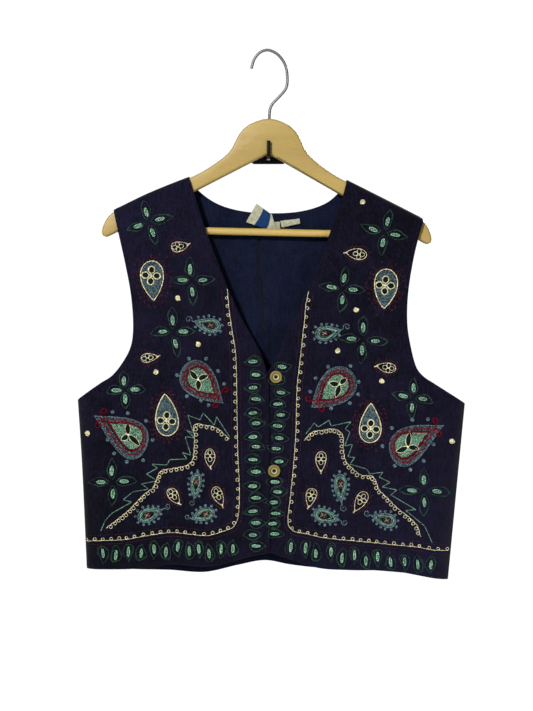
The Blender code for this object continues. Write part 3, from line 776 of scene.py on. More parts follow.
def cotton_finish(name, dark, light, weave, nap, sheen, painted_shading):
    """Brushed cotton: a fine weave with upright streaks, mottled colour, and painted light and shade that makes
    it paler along one diagonal and darker along the other.
    """
    made = Finish(name, {"Sheen Weight": sheen, "Sheen Roughness": 0.5, "Specular IOR Level": 0.04})
    clouds = made.noise(40.0, 3.0, 0.6)
    mottle = made.noise(380.0, 3.0, 0.7)
    streaks = made.noise(620.0, 2.0, 0.6, made.stretched((1.0, 1.0, 0.14)))
    warp = made.add(
        "ShaderNodeTexWave",
        {"wave_type": "BANDS", "bands_direction": "DIAGONAL"},
        {"Vector": made.stretched((1.0, 0.2, 1.0)), "Scale": weave, "Distortion": 1.4, "Detail": 1.0},
        output=1,
    )
    place = made.add("ShaderNodeSeparateXYZ", {}, {0: made.place})
    # Painted light and shade: lighter towards the upper left and lower right, darker towards the lower left and
    # upper right
    diagonal = ((place.other(2) + 0.33) * (place * -6.4) + place * 0.3) * painted_shading
    tone = clouds * 1.1 + mottle * 2.6 + streaks * 1.5 + warp * 0.2 + (diagonal - 2.3)
    cooler = (light[0] * 0.8, light[1], light[2] * 1.1)
    warmer = (light[0] * 1.3, light[1] * 0.85, light[2] * 0.9)
    hue = made.mixed(made.noise(190.0, 2.0, 0.6).step(0.4, 0.6), cooler, warmer)
    body = made.mixed(tone.clamped(), dark, hue)
    fluff = made.noise(1400.0, 1.0, 0.5).step(0.66, 0.78) * nap
    made.colour(made.mixed(fluff, body, tuple(min(channel * 3.2, 1.0) for channel in light)))
    made.rough(0.82 + mottle * 0.16)
    made.bump(warp * 0.35 + streaks * 0.5 + mottle * 0.7, 0.0006, 0.6)
    return made.material


def thread_finish(name, colour, fleck):
    """Stranded cotton: the colour shifts from stitch to stitch, with dark flecks and fine fibres along it."""
    made = Finish(name, {"Roughness": 0.62, "Specular IOR Level": 0.05})
    patches = made.noise(560.0, 2.0, 0.6)
    fibre = made.noise(2600.0, 2.0, 0.6)
    dark = tuple(channel * fleck for channel in colour)
    light = tuple(min(channel * 1.3, 1.0) for channel in colour)
    made.colour(made.mixed((patches * 5.0 + fibre * 0.8 - 2.35).clamped(), dark, light))
    made.bump(fibre, 0.0003, 0.5)
    return made.material


def wood_finish(name, along, pale, tan, dark, underside_shade=None):
    """Varnished beech, with its grain and short flecks along one axis, and painted shade below a slanted line,
    with a darker painted line along it.
    """
    made = Finish(name, {"Coat Weight": 0.12, "Coat Roughness": 0.35, "Specular IOR Level": 0.3})
    stretch = tuple(0.08 if axis == along else 1.0 for axis in range(3))
    where = made.stretched(stretch)
    grain = made.noise(150.0, 4.0, 0.6, where, 0.6)
    flecks = made.noise(900.0, 2.0, 0.5, where).step(0.58, 0.72)
    broad = made.noise(16.0, 2.0, 0.5, where)
    body = made.mixed((grain * 1.2 - 0.1).clamped(), pale, tan)
    deep = made.mixed((broad * 0.9 - 0.2).clamped(), body, dark)
    finished = made.mixed(flecks * 0.3, deep, dark)
    if underside_shade:
        # Painted shade: below the slanted line the wood is darker, like a side turned from the light, with a
        # darker painted line along it
        height, slope, start = underside_shade
        place = made.add("ShaderNodeSeparateXYZ", {}, {0: made.place})
        drop = place * slope + (height - place.other(2))
        begun = place.step(start, start + 4.0 * MM)
        shaded = made.mixed(drop.step(0.0, 0.5 * MM) * begun * 0.5, finished, tuple(c * 0.6 for c in dark))
        line = drop.step(-0.4 * MM, 0.1 * MM) * (0.7 * MM - drop).step(-0.4 * MM, 0.4 * MM)
        finished = made.mixed(line * begun * 0.75, shaded, tuple(c * 0.4 for c in dark))
    made.colour(finished)
    made.rough(0.46 + grain * 0.16)
    made.bump(grain * 0.6 + flecks * 0.4, 0.0003, 0.25)
    return made.material


def chrome_finish():
    made = Finish("Chromed wire", {"Metallic": 0.6, "Specular Tint": (0.3, 0.3, 0.3, 1.0)})
    haze = made.noise(120.0, 3.0, 0.6)
    made.colour(made.mixed(haze, (0.075, 0.083, 0.085), (0.14, 0.15, 0.155)))
    made.rough(0.4 + haze * 0.12)
    return made.material


def black_finish():
    made = Finish("Glossy black plastic", {"Coat Weight": 0.05, "Specular IOR Level": 0.2})
    haze = made.noise(90.0, 3.0, 0.6)
    made.colour(made.mixed(haze, (0.0012, 0.0012, 0.0012), (0.003, 0.003, 0.0035)))
    made.rough(0.18 + haze * 0.14)
    made.bump(made.noise(700.0, 2.0, 0.5), 0.0002, 0.1)
    return made.material


HORN_DISH = (0.27, 0.27, 0.135)
# Radii over which a button changes its colour, with painted shade at the centre among the holes and in the
# groove. Those of the groove's outer side count inwards.
CENTRE_SHADE_EDGE, DISH_EDGE = (2.2 * MM, 2.8 * MM), (3.9 * MM, 4.3 * MM)
GROOVE_EDGE, RIM_EDGE = (-5.8 * MM, -5.2 * MM), (7.4 * MM, 8.0 * MM)


def horn_finish(name, across, height, gold, rim):
    """Mottled horn, dull in the dish and paler on the turned ring, with painted shade at the centre among the
    holes and in the groove.
    """
    made = Finish(name, {"Coat Weight": 0.02, "Coat Roughness": 0.3, "Specular IOR Level": 0.22})
    centre = {"Vector": made.place, "Location": (-across * MM, 0.0, -height * MM), "Scale": (1.0, 0.0, 1.0)}
    flat = made.add("ShaderNodeMapping", {}, centre)
    reach = made.add("ShaderNodeVectorMath", {"operation": "LENGTH"}, {0: flat}, output=1)
    cloud = made.noise(300.0, 3.0, 0.6, distortion=0.8)
    body = made.mixed((cloud * 2.0 - 0.5).clamped(), gold, tuple(c * 0.62 for c in gold))
    # Painted shade: near black at the centre, among the holes, then the pale dish
    dish = made.mixed(reach.step(*CENTRE_SHADE_EDGE), tuple(c * 0.1 for c in HORN_DISH), HORN_DISH)
    turned = made.mixed(reach.step(*DISH_EDGE), dish, body)
    # Painted shade: a darker ring in the groove round the dish
    groove_shade = reach.step(*DISH_EDGE) * (0.0 - reach).step(*GROOVE_EDGE)
    ringed = made.mixed(groove_shade, turned, tuple(c * 0.42 for c in gold))
    made.colour(made.mixed(reach.step(*RIM_EDGE), ringed, rim))
    made.rough(0.3 + cloud * 0.2)
    made.bump(cloud, 0.0001, 0.3)
    return made.material


def label_finish(name, ground, band, edges):
    """Satin label: fine ribs, and a band whose edges are given across the label at its top and bottom."""
    made = Finish(name, {"Roughness": 0.7, "Sheen Weight": 0.02, "Specular IOR Level": 0.08})
    spot = made.add("ShaderNodeUVMap", {"uv_map": "UVMap"})
    split = made.tree.nodes.new("ShaderNodeSeparateXYZ")
    made.feed(split.inputs[0], spot)
    across, down = Signal(made, split.outputs[0]), Signal(made, split.outputs[1])
    ribs = made.add(
        "ShaderNodeTexWave",
        {"wave_type": "BANDS", "bands_direction": "Z"},
        {"Vector": made.place, "Scale": 420.0, "Distortion": 0.6, "Detail": 1.0},
        output=1,
    )
    soil = made.noise(260.0, 3.0, 0.6)
    paper = made.mixed((soil * 2.6 + ribs * 0.15 - 0.95).clamped(), ground, tuple(c * 0.6 for c in ground))
    if edges:
        (top_start, top_end), (bottom_start, bottom_end) = edges
        start = down * (bottom_start - top_start) + top_start
        end = down * (bottom_end - top_end) + top_end
        inside = (across - start).step(0.0, 0.02) * (end - across).step(0.0, 0.02)
        paper = made.mixed(inside, paper, made.mixed(soil, band, tuple(c * 0.6 for c in band)))
    made.colour(paper)
    made.bump(ribs * 0.4 + soil * 0.6, 0.0003, 0.5)
    return made.material


# ---------------------------------------------------------------------------------------------------------
# Pattern lines: all are arrays of (across, height)


def turned_left(vector):
    return np.array((-vector[1], vector[0]))


def along_angle(vector):
    return math.atan2(vector[1], vector[0])


def teardrop(tip, heel, width, bend=0.0, steps=56, sharp=1.0):
    """A closed outline with its point at tip and its round end at heel."""
    tip, heel = np.array(tip, float), np.array(heel, float)
    axis = tip - heel
    length = np.linalg.norm(axis)
    along = axis / length
    turn = np.linspace(0.0, math.tau, steps, endpoint=False)
    up = (1 + np.cos(turn)) / 2
    side = np.sin(turn) * np.abs(np.sin(turn / 2)) ** sharp
    side /= side.max()
    bow = bend * (up**1.5 - up)
    return heel + np.outer(up * length, along) + np.outer(side * width / 2 + bow, turned_left(along))


def leaf(base, tip, width, bend=0.0, steps=16, full=0.85):
    """A closed outline pointed at both ends."""
    base, tip = np.array(base, float), np.array(tip, float)
    axis = tip - base
    s = np.linspace(0.0, 1.0, steps)
    half = width / 2 * np.sin(math.pi * s**0.9) ** full
    bow = bend * np.sin(math.pi * s)
    across = turned_left(axis / np.linalg.norm(axis))
    one = base + np.outer(s, axis) + np.outer(half + bow, across)
    two = base + np.outer(s, axis) + np.outer(-half + bow, across)
    return np.concatenate((one, two[-2:0:-1]))


def oval(centre, length, width, direction, steps=18):
    direction = np.array(direction, float) / np.linalg.norm(direction)
    turn = np.linspace(0.0, math.tau, steps, endpoint=False)
    return (
        np.array(centre, float)
        + np.outer(np.cos(turn) * length / 2, direction)
        + np.outer(np.sin(turn) * width / 2, turned_left(direction))
    )


def spiral(centre, inner, outer, turns, start=0.0, way=1, steps=14):
    turn = np.linspace(0.0, 1.0, max(int(steps * turns), 4))
    radius = inner + (outer - inner) * turn
    angle = start + way * turn * turns * math.tau
    return np.array(centre, float) + np.stack((np.cos(angle) * radius, np.sin(angle) * radius), axis=1)


def scaled(points, centre, factor):
    centre = np.array(centre, float)
    return centre + (points - centre) * factor


def outward(points):
    """Unit vectors across a closed outline, away from its middle."""
    tangent = np.roll(points, -1, axis=0) - np.roll(points, 1, axis=0)
    tangent /= np.maximum(np.linalg.norm(tangent, axis=1, keepdims=True), 1e-9)
    away = np.stack((tangent[:, 1], -tangent[:, 0]), axis=1)
    if (away * (points - points.mean(axis=0))).sum() < 0:
        away = -away
    return away


def even(points, pitch, closed=False):
    """The same line with points an even pitch apart."""
    points = np.array(points, float)
    if closed:
        points = np.concatenate((points, points[:1]))
    reach = np.concatenate(([0.0], np.cumsum(np.linalg.norm(np.diff(points, axis=0), axis=1))))
    count = max(round(reach[-1] / pitch), 2)
    spots = np.linspace(0.0, reach[-1], count + 1)
    out = np.stack([np.interp(spots, reach, points[:, axis]) for axis in (0, 1)], axis=1)
    return out[:-1] if closed else out


def smooth_line(points, pitch):
    spots = np.array(points, float)
    length = np.linalg.norm(np.diff(spots, axis=0), axis=1).sum()
    return curve_through(points)(np.linspace(0.0, 1.0, max(round(length / pitch), 2) + 1))


def beside(points, distance):
    """An open line moved sideways to its left."""
    tangent = np.gradient(points, axis=0)
    tangent /= np.linalg.norm(tangent, axis=1, keepdims=True)
    return points + distance * np.stack((-tangent[:, 1], tangent[:, 0]), axis=1)


def looped(points, loops, side, rng):
    """A line with a round loop beside it at each pitch, which sways a little between the loops."""
    radius, first, last, sway = loops
    path = even(smooth_line(points, 2.0), LOOP_STEP)
    tangent = np.gradient(path, axis=0)
    tangent /= np.linalg.norm(tangent, axis=1, keepdims=True)
    across = np.stack((-tangent[:, 1], tangent[:, 0]), axis=1) * side
    out, since, pitch = [], 0.0, first
    for i, spot in enumerate(path):
        out.append(spot - across[i] * sway * math.sin(math.pi * since / pitch))
        since += LOOP_STEP
        if since >= pitch:
            since, pitch = 0.0, (first + (last - first) * i / len(path)) * rng.uniform(0.88, 1.12)
            size = radius * rng.uniform(0.88, 1.12)
            middle = spot + across[i] * size
            for step in range(1, 10):
                angle = step / 10 * math.tau
                out.append(middle - across[i] * size * math.cos(angle) - tangent[i] * size * math.sin(angle))
            out.append(spot)
    return np.array(out)


def hatched(outline, spacing, angle, holes=()):
    """Parallel rows that fill an outline but not its holes."""
    cos, sin = math.cos(angle), math.sin(angle)
    turn = np.array(((cos, -sin), (sin, cos)))
    rings = [np.asarray(ring) @ turn for ring in (outline, *holes)]
    low, high = rings[0][:, 1].min(), rings[0][:, 1].max()
    rows = max(int((high - low) / spacing), 1)
    out = []
    for k in range(rows):
        y = low + (high - low) * (k + 0.5) / rows
        crossings = []
        for ring in rings:
            ends = np.roll(ring, -1, axis=0)
            for (x0, y0), (x1, y1) in zip(ring, ends):
                if (y0 <= y) != (y1 <= y):
                    crossings.append(x0 + (x1 - x0) * (y - y0) / (y1 - y0))
        crossings.sort()
        for start, end in zip(crossings[::2], crossings[1::2]):
            start, end = start + spacing * 0.55, end - spacing * 0.55
            if end - start > 0.4:
                out.append(np.array(((start, y), (end, y))) @ turn.T)
    return out


# ---------------------------------------------------------------------------------------------------------
# Motifs


class Pattern:
    """Lines of stitches gathered by thread: chains are thick lines, fine ones are single, rows are fills."""

    def __init__(self, seed):
        self.rng = random.Random(seed)
        self.strokes = {name: {"chain": [], "fine": [], "row": []} for name in THREADS}

    def jitter(self, amount):
        return self.rng.uniform(-amount, amount)

    def nudge(self, amount):
        return np.array((self.jitter(amount), self.jitter(amount)))

    def chain(self, thread, points, closed=False):
        self.strokes[thread]["chain"].append((np.array(points, float), closed))

    def fine(self, thread, points, closed=False):
        self.strokes[thread]["fine"].append((np.array(points, float), closed))

    def fill(self, thread, outline, angle=0.0, holes=(), spacing=FILL_SPACING):
        shortest = THREADS[thread][0] * 1.03
        for start, end in hatched(outline, spacing, angle, holes):
            run = end - start
            length = np.linalg.norm(run)
            middle = (start + end) / 2
            half = run / length * max(length, shortest) / 2
            shift = half / np.linalg.norm(half) * self.jitter(0.3)
            ends = np.array((middle - half + shift, middle + half + shift))
            self.strokes[thread]["row"].append((ends, False))

    def hand(self, points, amount=0.35):
        """An outline as a hand would draw it."""
        phases = [self.rng.uniform(0, math.tau) for _ in range(4)]
        s = np.linspace(0.0, math.tau, len(points), endpoint=False)
        across = np.sin(s * 2 + phases[0]) + 0.6 * np.sin(s * 3 + phases[1])
        up = np.sin(s * 2 + phases[2]) + 0.6 * np.sin(s * 3 + phases[3])
        return points + np.stack((across, up), axis=1) * amount

    def seed(self, middle, size, tilt):
        """A filled oval: a bright ring round rows of the same thread."""
        length, width = (value * self.rng.uniform(0.9, 1.08) for value in size)
        self.fine("mint", oval(middle, length - 1.6, width - 1.6, tilt), True)
        rows = self.hand(oval(middle, length - 1.6, width - 1.6, tilt), 0.3)
        self.fill("mint", rows, along_angle(tilt) + self.jitter(0.3))

    def flower(self, centre, *tips):
        centre = np.array(centre)
        for tip in tips:
            way = np.array(tip) - centre
            side = turned_left(way / np.linalg.norm(way))
            bend = self.jitter(1.8)
            width = PETAL_WIDTH * self.rng.uniform(0.88, 1.05)
            edge = self.hand(leaf(centre + way * 0.14, tip, width, bend, 20), 0.65)
            self.fine("leaf_green", edge, True)
            again = self.rng.randrange(len(edge) // 2)
            self.chain("leaf_green", scaled(edge, edge.mean(axis=0), 0.9)[again : again + 13])
            tilt = way + turned_left(way) * self.jitter(0.12)
            self.seed(centre + way * 0.47 + side * bend * 0.8, PETAL_FILL, tilt)

    def halo(self, outline, near, far):
        """A maroon scribble all round a motif, with little clusters outside it."""
        ring = even(outline, 1.9, True)
        away = outward(ring)
        line = []
        for i, (spot, out) in enumerate(zip(ring, away)):
            reach = self.rng.uniform(2.6, near * 1.35 + 1.0) if i % 2 else self.rng.uniform(1.7, 3.2)
            line.append(spot + out * reach + turned_left(out) * self.jitter(1.5))
        self.fine("maroon", line, True)
        if not far:
            return
        for spot, out in zip(ring[::3], away[::3]):
            middle = spot + out * (near + far * self.rng.uniform(0.55, 1.15))
            middle = middle + turned_left(out) * self.jitter(1.6)
            for _ in range(3):
                angle = self.rng.uniform(0, math.tau)
                way = np.array((math.cos(angle), math.sin(angle)))
                start = middle + self.nudge(1.2)
                self.fine("maroon", [start - way * 1.1, start + way * 1.1])
            if self.rng.random() < 0.4:
                self.fine("maroon", [middle - out * 2.0, middle - out * (far * 0.5 + 1.0)])

    def ring_cross(self, middle, along, reach, size, drawn):
        """Four small rings that meet in a cross."""
        rings = []
        for quarter in range(4):
            way = (along, turned_left(along), -along, -turned_left(along))[quarter]
            spot = middle + way * reach[quarter % 2]
            rings.append(oval(spot, *size, way, 14))
            drawn("ivory", rings[-1], True)
        return rings

    def blue_drop(self, tip, heel, rings, width):
        outline = self.hand(teardrop(tip, heel, width, sharp=0.8), 0.3)
        self.chain("ivory", outline, True)
        made = self.ring_cross(np.array(rings), np.array((0.08, 0.997)), (7.6, 7.6), (9.4, 8.4), self.chain)
        for ring in made:
            self.fill("deep_green", scaled(ring, ring.mean(axis=0), 0.8), self.rng.uniform(0, 3))
        self.chain("ivory", spiral(rings, 0.6, 1.9, 1.4))
        holes = [scaled(ring, ring.mean(axis=0), 1.12) for ring in made]
        self.fill("steel_blue", scaled(outline, outline.mean(axis=0), 0.93), 1.7, holes, 1.6)
        self.halo(outline, 4.6, 6.0)

    def cream_drop(self, tip, heel, width):
        tip, heel = np.array(tip, float), np.array(heel, float)
        outline = self.hand(teardrop(tip, heel, width, sharp=0.85), 0.25)
        self.fine("ivory", outline, True)
        along = (tip - heel) / np.linalg.norm(tip - heel)
        middle = heel + (tip - heel) * 0.37
        self.ring_cross(middle, along, (4.5, width * 0.26), (6.0, 5.3), self.fine)
        self.chain("ivory", [tip - along * 2.0, tip + along * 2.2 + turned_left(along) * self.jitter(1.8)])
        self.halo(outline, 4.4, 0.0)

    def blue_paisley(self, tip, heel, width, curl, way):
        tip, heel, curl = (np.array(point, float) for point in (tip, heel, curl))
        outline = self.hand(teardrop(tip, heel, width * 0.8, sharp=0.9), 0.4)
        along = (tip - heel) / np.linalg.norm(tip - heel)
        side = turned_left(along)
        middle = heel + (tip - heel) * 0.36
        self.fine("steel_blue", outline, True)
        self.fill("steel_blue", outline, along_angle(along) + 0.8, (scaled(outline, middle, 0.76),), 1.5)
        self.fine("mint", self.hand(scaled(outline, middle, 0.72), 0.3), True)
        self.fine("pale_green", self.hand(scaled(outline, middle, 0.56), 0.3)[4:-4])
        for up, out in ((-3.4, 0.0), (0.0, -2.5), (0.2, 2.5), (3.4, 0.0)):
            dot = middle + along * up + side * out
            self.chain("red", [dot - along * 1.2, dot + along * 1.2])
        for turn in (-1, 1):
            start = middle - along * 2.6 - side * 1.8 * turn
            end = middle + along * 2.6 + side * 1.8 * turn
            self.fine("mint", [start, end])
        ring = even(outline, 6.3, True)
        for spot, out in zip(ring, outward(ring)):
            if np.linalg.norm(spot - tip) < 5.0:
                continue
            knob = spot + out * self.rng.uniform(2.4, 3.6)
            self.fine("steel_blue", spiral(knob, 0.6, 1.7, 1.5, self.rng.uniform(0, 6), steps=8))
        start = math.atan2(*(tip - curl)[::-1])
        tail = spiral(curl, np.linalg.norm(tip - curl) * 0.62, 1.3, 1.1, start, way)
        self.fine("steel_blue", np.concatenate(([tip - along * 2.0, tip], tail)))

    def great_paisley(self, tip, heel, width, bend, sharp, inner, middle, sprig, leaves):
        tip, heel, middle, sprig = (np.array(point, float) for point in (tip, heel, middle, sprig))
        outline = self.hand(teardrop(tip, heel, width, bend, 80, sharp), 0.3)
        along = (tip - heel) / np.linalg.norm(tip - heel)
        angle = along_angle(along)
        self.fine("steel_blue", outline, True)
        band = self.hand(scaled(outline, middle, 0.97), 0.3)
        self.fill("steel_blue", band, angle + 0.2, (scaled(outline, middle, inner + 0.06),), 1.7)
        self.chain("red", scaled(outline, middle, inner), True)
        wave = even(scaled(outline, middle, (inner + 1.0) / 2), WAVE_STEP, True)
        waves = round(len(wave) * WAVE_STEP / WAVE_LENGTH)
        swing = np.sin(np.arange(len(wave)) * math.tau * waves / len(wave))
        wave = self.hand(wave + outward(wave) * (swing * WAVE_REACH)[:, None], 0.2)
        self.chain("red", wave, True)
        holes = []
        for point in leaves:
            point = np.array(point)
            blade = leaf(sprig, sprig + point, 7.2, 0.5, 10, 0.8)
            self.fine("ivory", blade, True)
            self.fill("deep_green", scaled(blade, blade.mean(axis=0), 0.66), along_angle(point))
            holes.append(scaled(blade, blade.mean(axis=0), 1.1))
        self.chain("ivory", spiral(sprig, 0.5, 1.1, 1.2))
        self.fill("mint", scaled(outline, middle, inner - 0.05), angle + 0.5, holes, 1.6)
        end = middle + (tip - middle) * inner
        self.chain("red", [end, end + (tip - end) * 0.5])

    def tendril(self, start, middle, way):
        start, middle = np.array(start, float), np.array(middle, float)
        gap = (middle - start) / np.linalg.norm(middle - start)
        angle = along_angle(gap) - way * math.pi / 2
        self.chain("red", np.concatenate(([start], spiral(middle, 3.4, 2.6, 0.66, angle, way))))

    def dot(self, centre):
        for radius in (2.0, 0.9):
            spot = np.array(centre) + self.nudge(0.4)
            self.fine("steel_blue", spiral(spot, radius, radius, 1.0, self.rng.uniform(0, 6), steps=8), True)

    def knot(self, centre):
        self.chain("ivory", spiral(centre, 0.7, 3.3, 2.2, self.rng.uniform(0, 6)))

    def leaf_row(self, middles, direction, size):
        """A row of filled ovals inside pointed outlines, whose points alternate."""
        direction = np.array(direction, float)
        length, width = size
        for i, middle in enumerate(middles):
            middle = np.array(middle)
            way = direction if i % 2 else -direction
            tilt = way + turned_left(way) * self.jitter(0.13)
            self.seed(middle, size, tilt)
            reach = (length + 9.0) * self.rng.uniform(0.92, 1.08)
            heel = middle - tilt * reach * 0.45
            wide = (width + 7.6) * self.rng.uniform(0.92, 1.08)
            edge = teardrop(middle + tilt * reach * 0.58, heel, wide, sharp=0.7)
            self.fine("leaf_green", self.hand(edge, 1.0), True)
            again = self.rng.randrange(len(edge) // 2)
            self.fine("leaf_green", self.hand(scaled(edge, middle, 0.86), 0.7)[again : again + 22])

    def border(self, points, side):
        self.fine("ivory", looped(points, BORDER_LOOPS, side, self.rng))
        path = even(smooth_line(points, 3.0), 4.6)
        for distance in (7.0 * side, -5.0 * side):
            line = beside(path, distance)
            for start, end in zip(line, line[1:]):
                self.fine("maroon", [start, start + (end - start) * 0.55])

    def hill(self, points):
        path = beside(smooth_line(points, 3.0), HILL_SHIFT)
        self.fine("ivory", looped(path, HILL_LOOPS, -1, self.rng))


def whole_pattern():
    made = Pattern(PATTERN_SEED)
    paisleys = [(*paisley, leaves) for paisley, leaves in zip(GREAT_PAISLEYS, SPRIGS)]
    motifs = (
        (made.flower, FLOWERS), (made.blue_drop, BLUE_DROPS), (made.cream_drop, CREAM_DROPS),
        (made.blue_paisley, BLUE_PAISLEYS), (made.great_paisley, paisleys), (made.tendril, TENDRILS),
    )
    for draw, rows in motifs:
        for row in rows:
            draw(*row)
    for draw, centres in ((made.dot, BLUE_DOTS), (made.knot, CREAM_KNOTS)):
        for centre in centres:
            draw(centre)
    made.border(LEFT_BORDER, -1)
    made.border(RIGHT_BORDER, 1)
    made.hill(LEFT_HILL)
    made.hill(RIGHT_HILL)
    for zigzag in (LEFT_ZIGZAG, RIGHT_ZIGZAG):
        made.fine("pale_green", even(zigzag, 2.0))
    made.leaf_row(LEFT_LEAVES, (1, 0), BAND_LEAF)
    made.leaf_row(RIGHT_LEAVES, (-1, 0), BAND_LEAF)
    made.leaf_row(LEFT_HEM_LEAVES, (0, 1), HEM_LEAF)
    made.leaf_row(RIGHT_HEM_LEAVES, (0, -1), HEM_LEAF)
    return made


# ---------------------------------------------------------------------------------------------------------
# Cloth panels

EDGE_PLACES = (0, 0.6, 1.3, 2.2, 3.2, 4, 4.6, 5.2, 6.2, 8, 11, 15, 20, 25, 30)
NECK_PLACES = (0, 1, 2.5, 5, 8, 12, 16)
TOP_PLACES = (0, 0.6, 1.4, 2.4, 3.4, 4.2, 5, 6, 7.5, 9.5, 11.5, 14)
HEM_PLACES = (0, 0.6, 1.3, 2.2, 3.2, 4, 4.6, 5.2, 6.2, 8, 11)
FRONT_COLUMNS = 46
BACK_SIDE_COLUMNS = 20
BACK_NECK_COLUMNS = 112
PANEL_ROWS = 128


def panel_rows():
    """Shares down a panel's edges, with a row at the underarm."""
    drop = places([PANEL_DROP], PANEL_ROWS, TOP_PLACES, HEM_PLACES)[0]
    nearest = np.abs(drop - ARMHOLE_SHARE).argmin()
    drop[nearest] = ARMHOLE_SHARE
    return drop


class Panel:
    """One panel of the vest: its outer face as a grid of points, and how far each is from its edges."""

    def __init__(self, edges, columns, rows, depth):
        self.rows = rows
        self.spots = patch(*edges, columns, rows)
        self.from_left = self.reach(1)
        self.from_right = self.from_left[:, -1:] - self.from_left
        self.from_top = self.reach(0)
        self.from_bottom = self.from_top[-1:, :] - self.from_top
        self.depth = depth(self.spots)

    def reach(self, axis):
        step = np.linalg.norm(np.diff(self.spots, axis=axis), axis=-1)
        start = np.zeros_like(np.take(step, [0], axis=axis))
        return np.cumsum(np.concatenate((start, step), axis=axis), axis=axis)

    def points(self, relief=0.0):
        """The grid in space, with relief added to its distance from the wall."""
        depth = self.depth + relief
        return np.stack((self.spots[..., 0], -depth, self.spots[..., 1]), axis=-1)


# A turned and topstitched edge: how deep or high each form is, and how far it reaches
ROLL_DEPTH, ROLL_REACH = 0.7, 1.8
PUFF_HEIGHT, PUFF_REACH = 0.35, 1.2
PULL_DEPTH, PULL_REACH = 0.35, 0.8
# Stands for the distance from an edge that isn't there
FAR = 99.0
# Thickness at a free edge as a share of the full one, and how far from it the full one begins
EDGE_SHARE = 0.62
EDGE_THICKENS = 2.2
# How far from a seam the relief and the full thickness begin
SEAM_FADE = 5.0
SEAM_THICKENS = 12.0
# Fronts narrower than this have their columns squeezed
NARROW = 110.0
# How far from the ends of the neck its topstitching stops
NECK_STITCH_STOPS = 8.0
# How far off the lining its line of stitches lies
LINING_LIFT = 0.05
# Angle above which an edge of a panel is drawn sharp
PANEL_CREASE = 48


def hem_relief(distance, inset):
    """Relief by the distance from a turned and topstitched edge: rolled edge, puffed fold, pulled stitches."""
    rolled = -ROLL_DEPTH * np.clip(1 - distance / ROLL_REACH, 0.0, 1.0) ** 2
    puffed = PUFF_HEIGHT * eased((inset + PUFF_REACH / 2 - distance) / PUFF_REACH)
    pulled = -PULL_DEPTH * np.exp(-(((distance - inset) / PULL_REACH) ** 2))
    return rolled + puffed + pulled


def edge_thickness(distances, thickness):
    """Thickness of a panel, which thins towards its free edges."""
    nearest = np.min(distances, axis=0)
    return thickness * (EDGE_SHARE + (1 - EDGE_SHARE) * eased(nearest / EDGE_THICKENS))


def thinned_at_seam(wall, distance):
    return wall * (0.8 + 0.2 * eased(distance / SEAM_THICKENS))


def side_edge(upper, lower):
    """A panel's side, whose upper and lower lines meet at the underarm's height."""
    return joined((curve_through(upper), curve_through(lower)), (ARMHOLE_SHARE,))


def front_panel(shoulder, hem, armhole, side, neck, centre, depth):
    edges = (curve_through(shoulder), curve_through(hem), side_edge(armhole, side), side_edge(neck, centre))
    rows = panel_rows()
    widths = np.linalg.norm(edges[3](rows) - edges[2](rows), axis=1)
    squeeze = np.minimum(widths / NARROW, 1.0)
    columns = places(widths, FRONT_COLUMNS, EDGE_PLACES, EDGE_PLACES)
    if squeeze.min() < 1.0:
        tight = places(widths / squeeze, FRONT_COLUMNS, EDGE_PLACES, EDGE_PLACES)
        columns = np.where((squeeze < 1.0)[:, None], tight, columns)
    return Panel(edges, columns, rows, depth)


# Edges and depth of each front
FRONTS = {
    "front_left": (
        LEFT_SHOULDER, LEFT_HEM, LEFT_ARMHOLE, LEFT_SIDE, LEFT_NECK, LEFT_CENTRE, left_depth
    ),
    "front_right": (
        RIGHT_SHOULDER, RIGHT_HEM, RIGHT_ARMHOLE, RIGHT_SIDE, RIGHT_NECK, RIGHT_CENTRE, right_depth
    ),
}


def back_panel():
    rows = panel_rows()
    tops = [curve_through(line) for line in (LEFT_SHOULDER, BACK_NECK, tuple(reversed(RIGHT_SHOULDER)))]
    edges = (
        joined(tops, (NECK_STARTS, NECK_ENDS)),
        curve_through(BACK_HEM),
        side_edge(LEFT_ARMHOLE, LEFT_SIDE),
        side_edge(RIGHT_ARMHOLE, RIGHT_SIDE),
    )
    shares = [np.zeros(1)]
    zones = (
        (0.0, NECK_STARTS, BACK_SIDE_COLUMNS, EDGE_PLACES, NECK_PLACES),
        (NECK_STARTS, NECK_ENDS, BACK_NECK_COLUMNS, NECK_PLACES, NECK_PLACES),
        (NECK_ENDS, 1.0, BACK_SIDE_COLUMNS, NECK_PLACES, EDGE_PLACES),
    )
    for start, end, count, first, last in zones:
        inside = places([BACK_WIDTH * (end - start)], count, first, last)[0]
        shares.append(start + (end - start) * inside[1:])
    columns = np.broadcast_to(np.concatenate(shares), (len(rows), sum(len(s) for s in shares)))
    return Panel(edges, columns, rows, back_depth)


def line_mesh(name, lines):
    """An object of edges along lines of points in millimetres, each (points, normals or None, closed)."""
    verts, edges, normals = [], [], []
    for points, across, closed in lines:
        first = len(verts)
        verts += [tuple(point) for point in points * MM]
        edges += [(first + i, first + i + 1) for i in range(len(points) - 1)]
        if closed:
            edges.append((len(verts) - 1, first))
        if across is not None:
            normals.append(across)
    mesh = bpy.data.meshes.new(name)
    mesh.from_pydata(verts, edges, [])
    if normals:
        layer = mesh.attributes.new("cloth_normal", "FLOAT_VECTOR", "POINT")
        layer.data.foreach_set("vector", np.concatenate(normals).astype(np.float32).ravel())
    return linked(name, mesh)


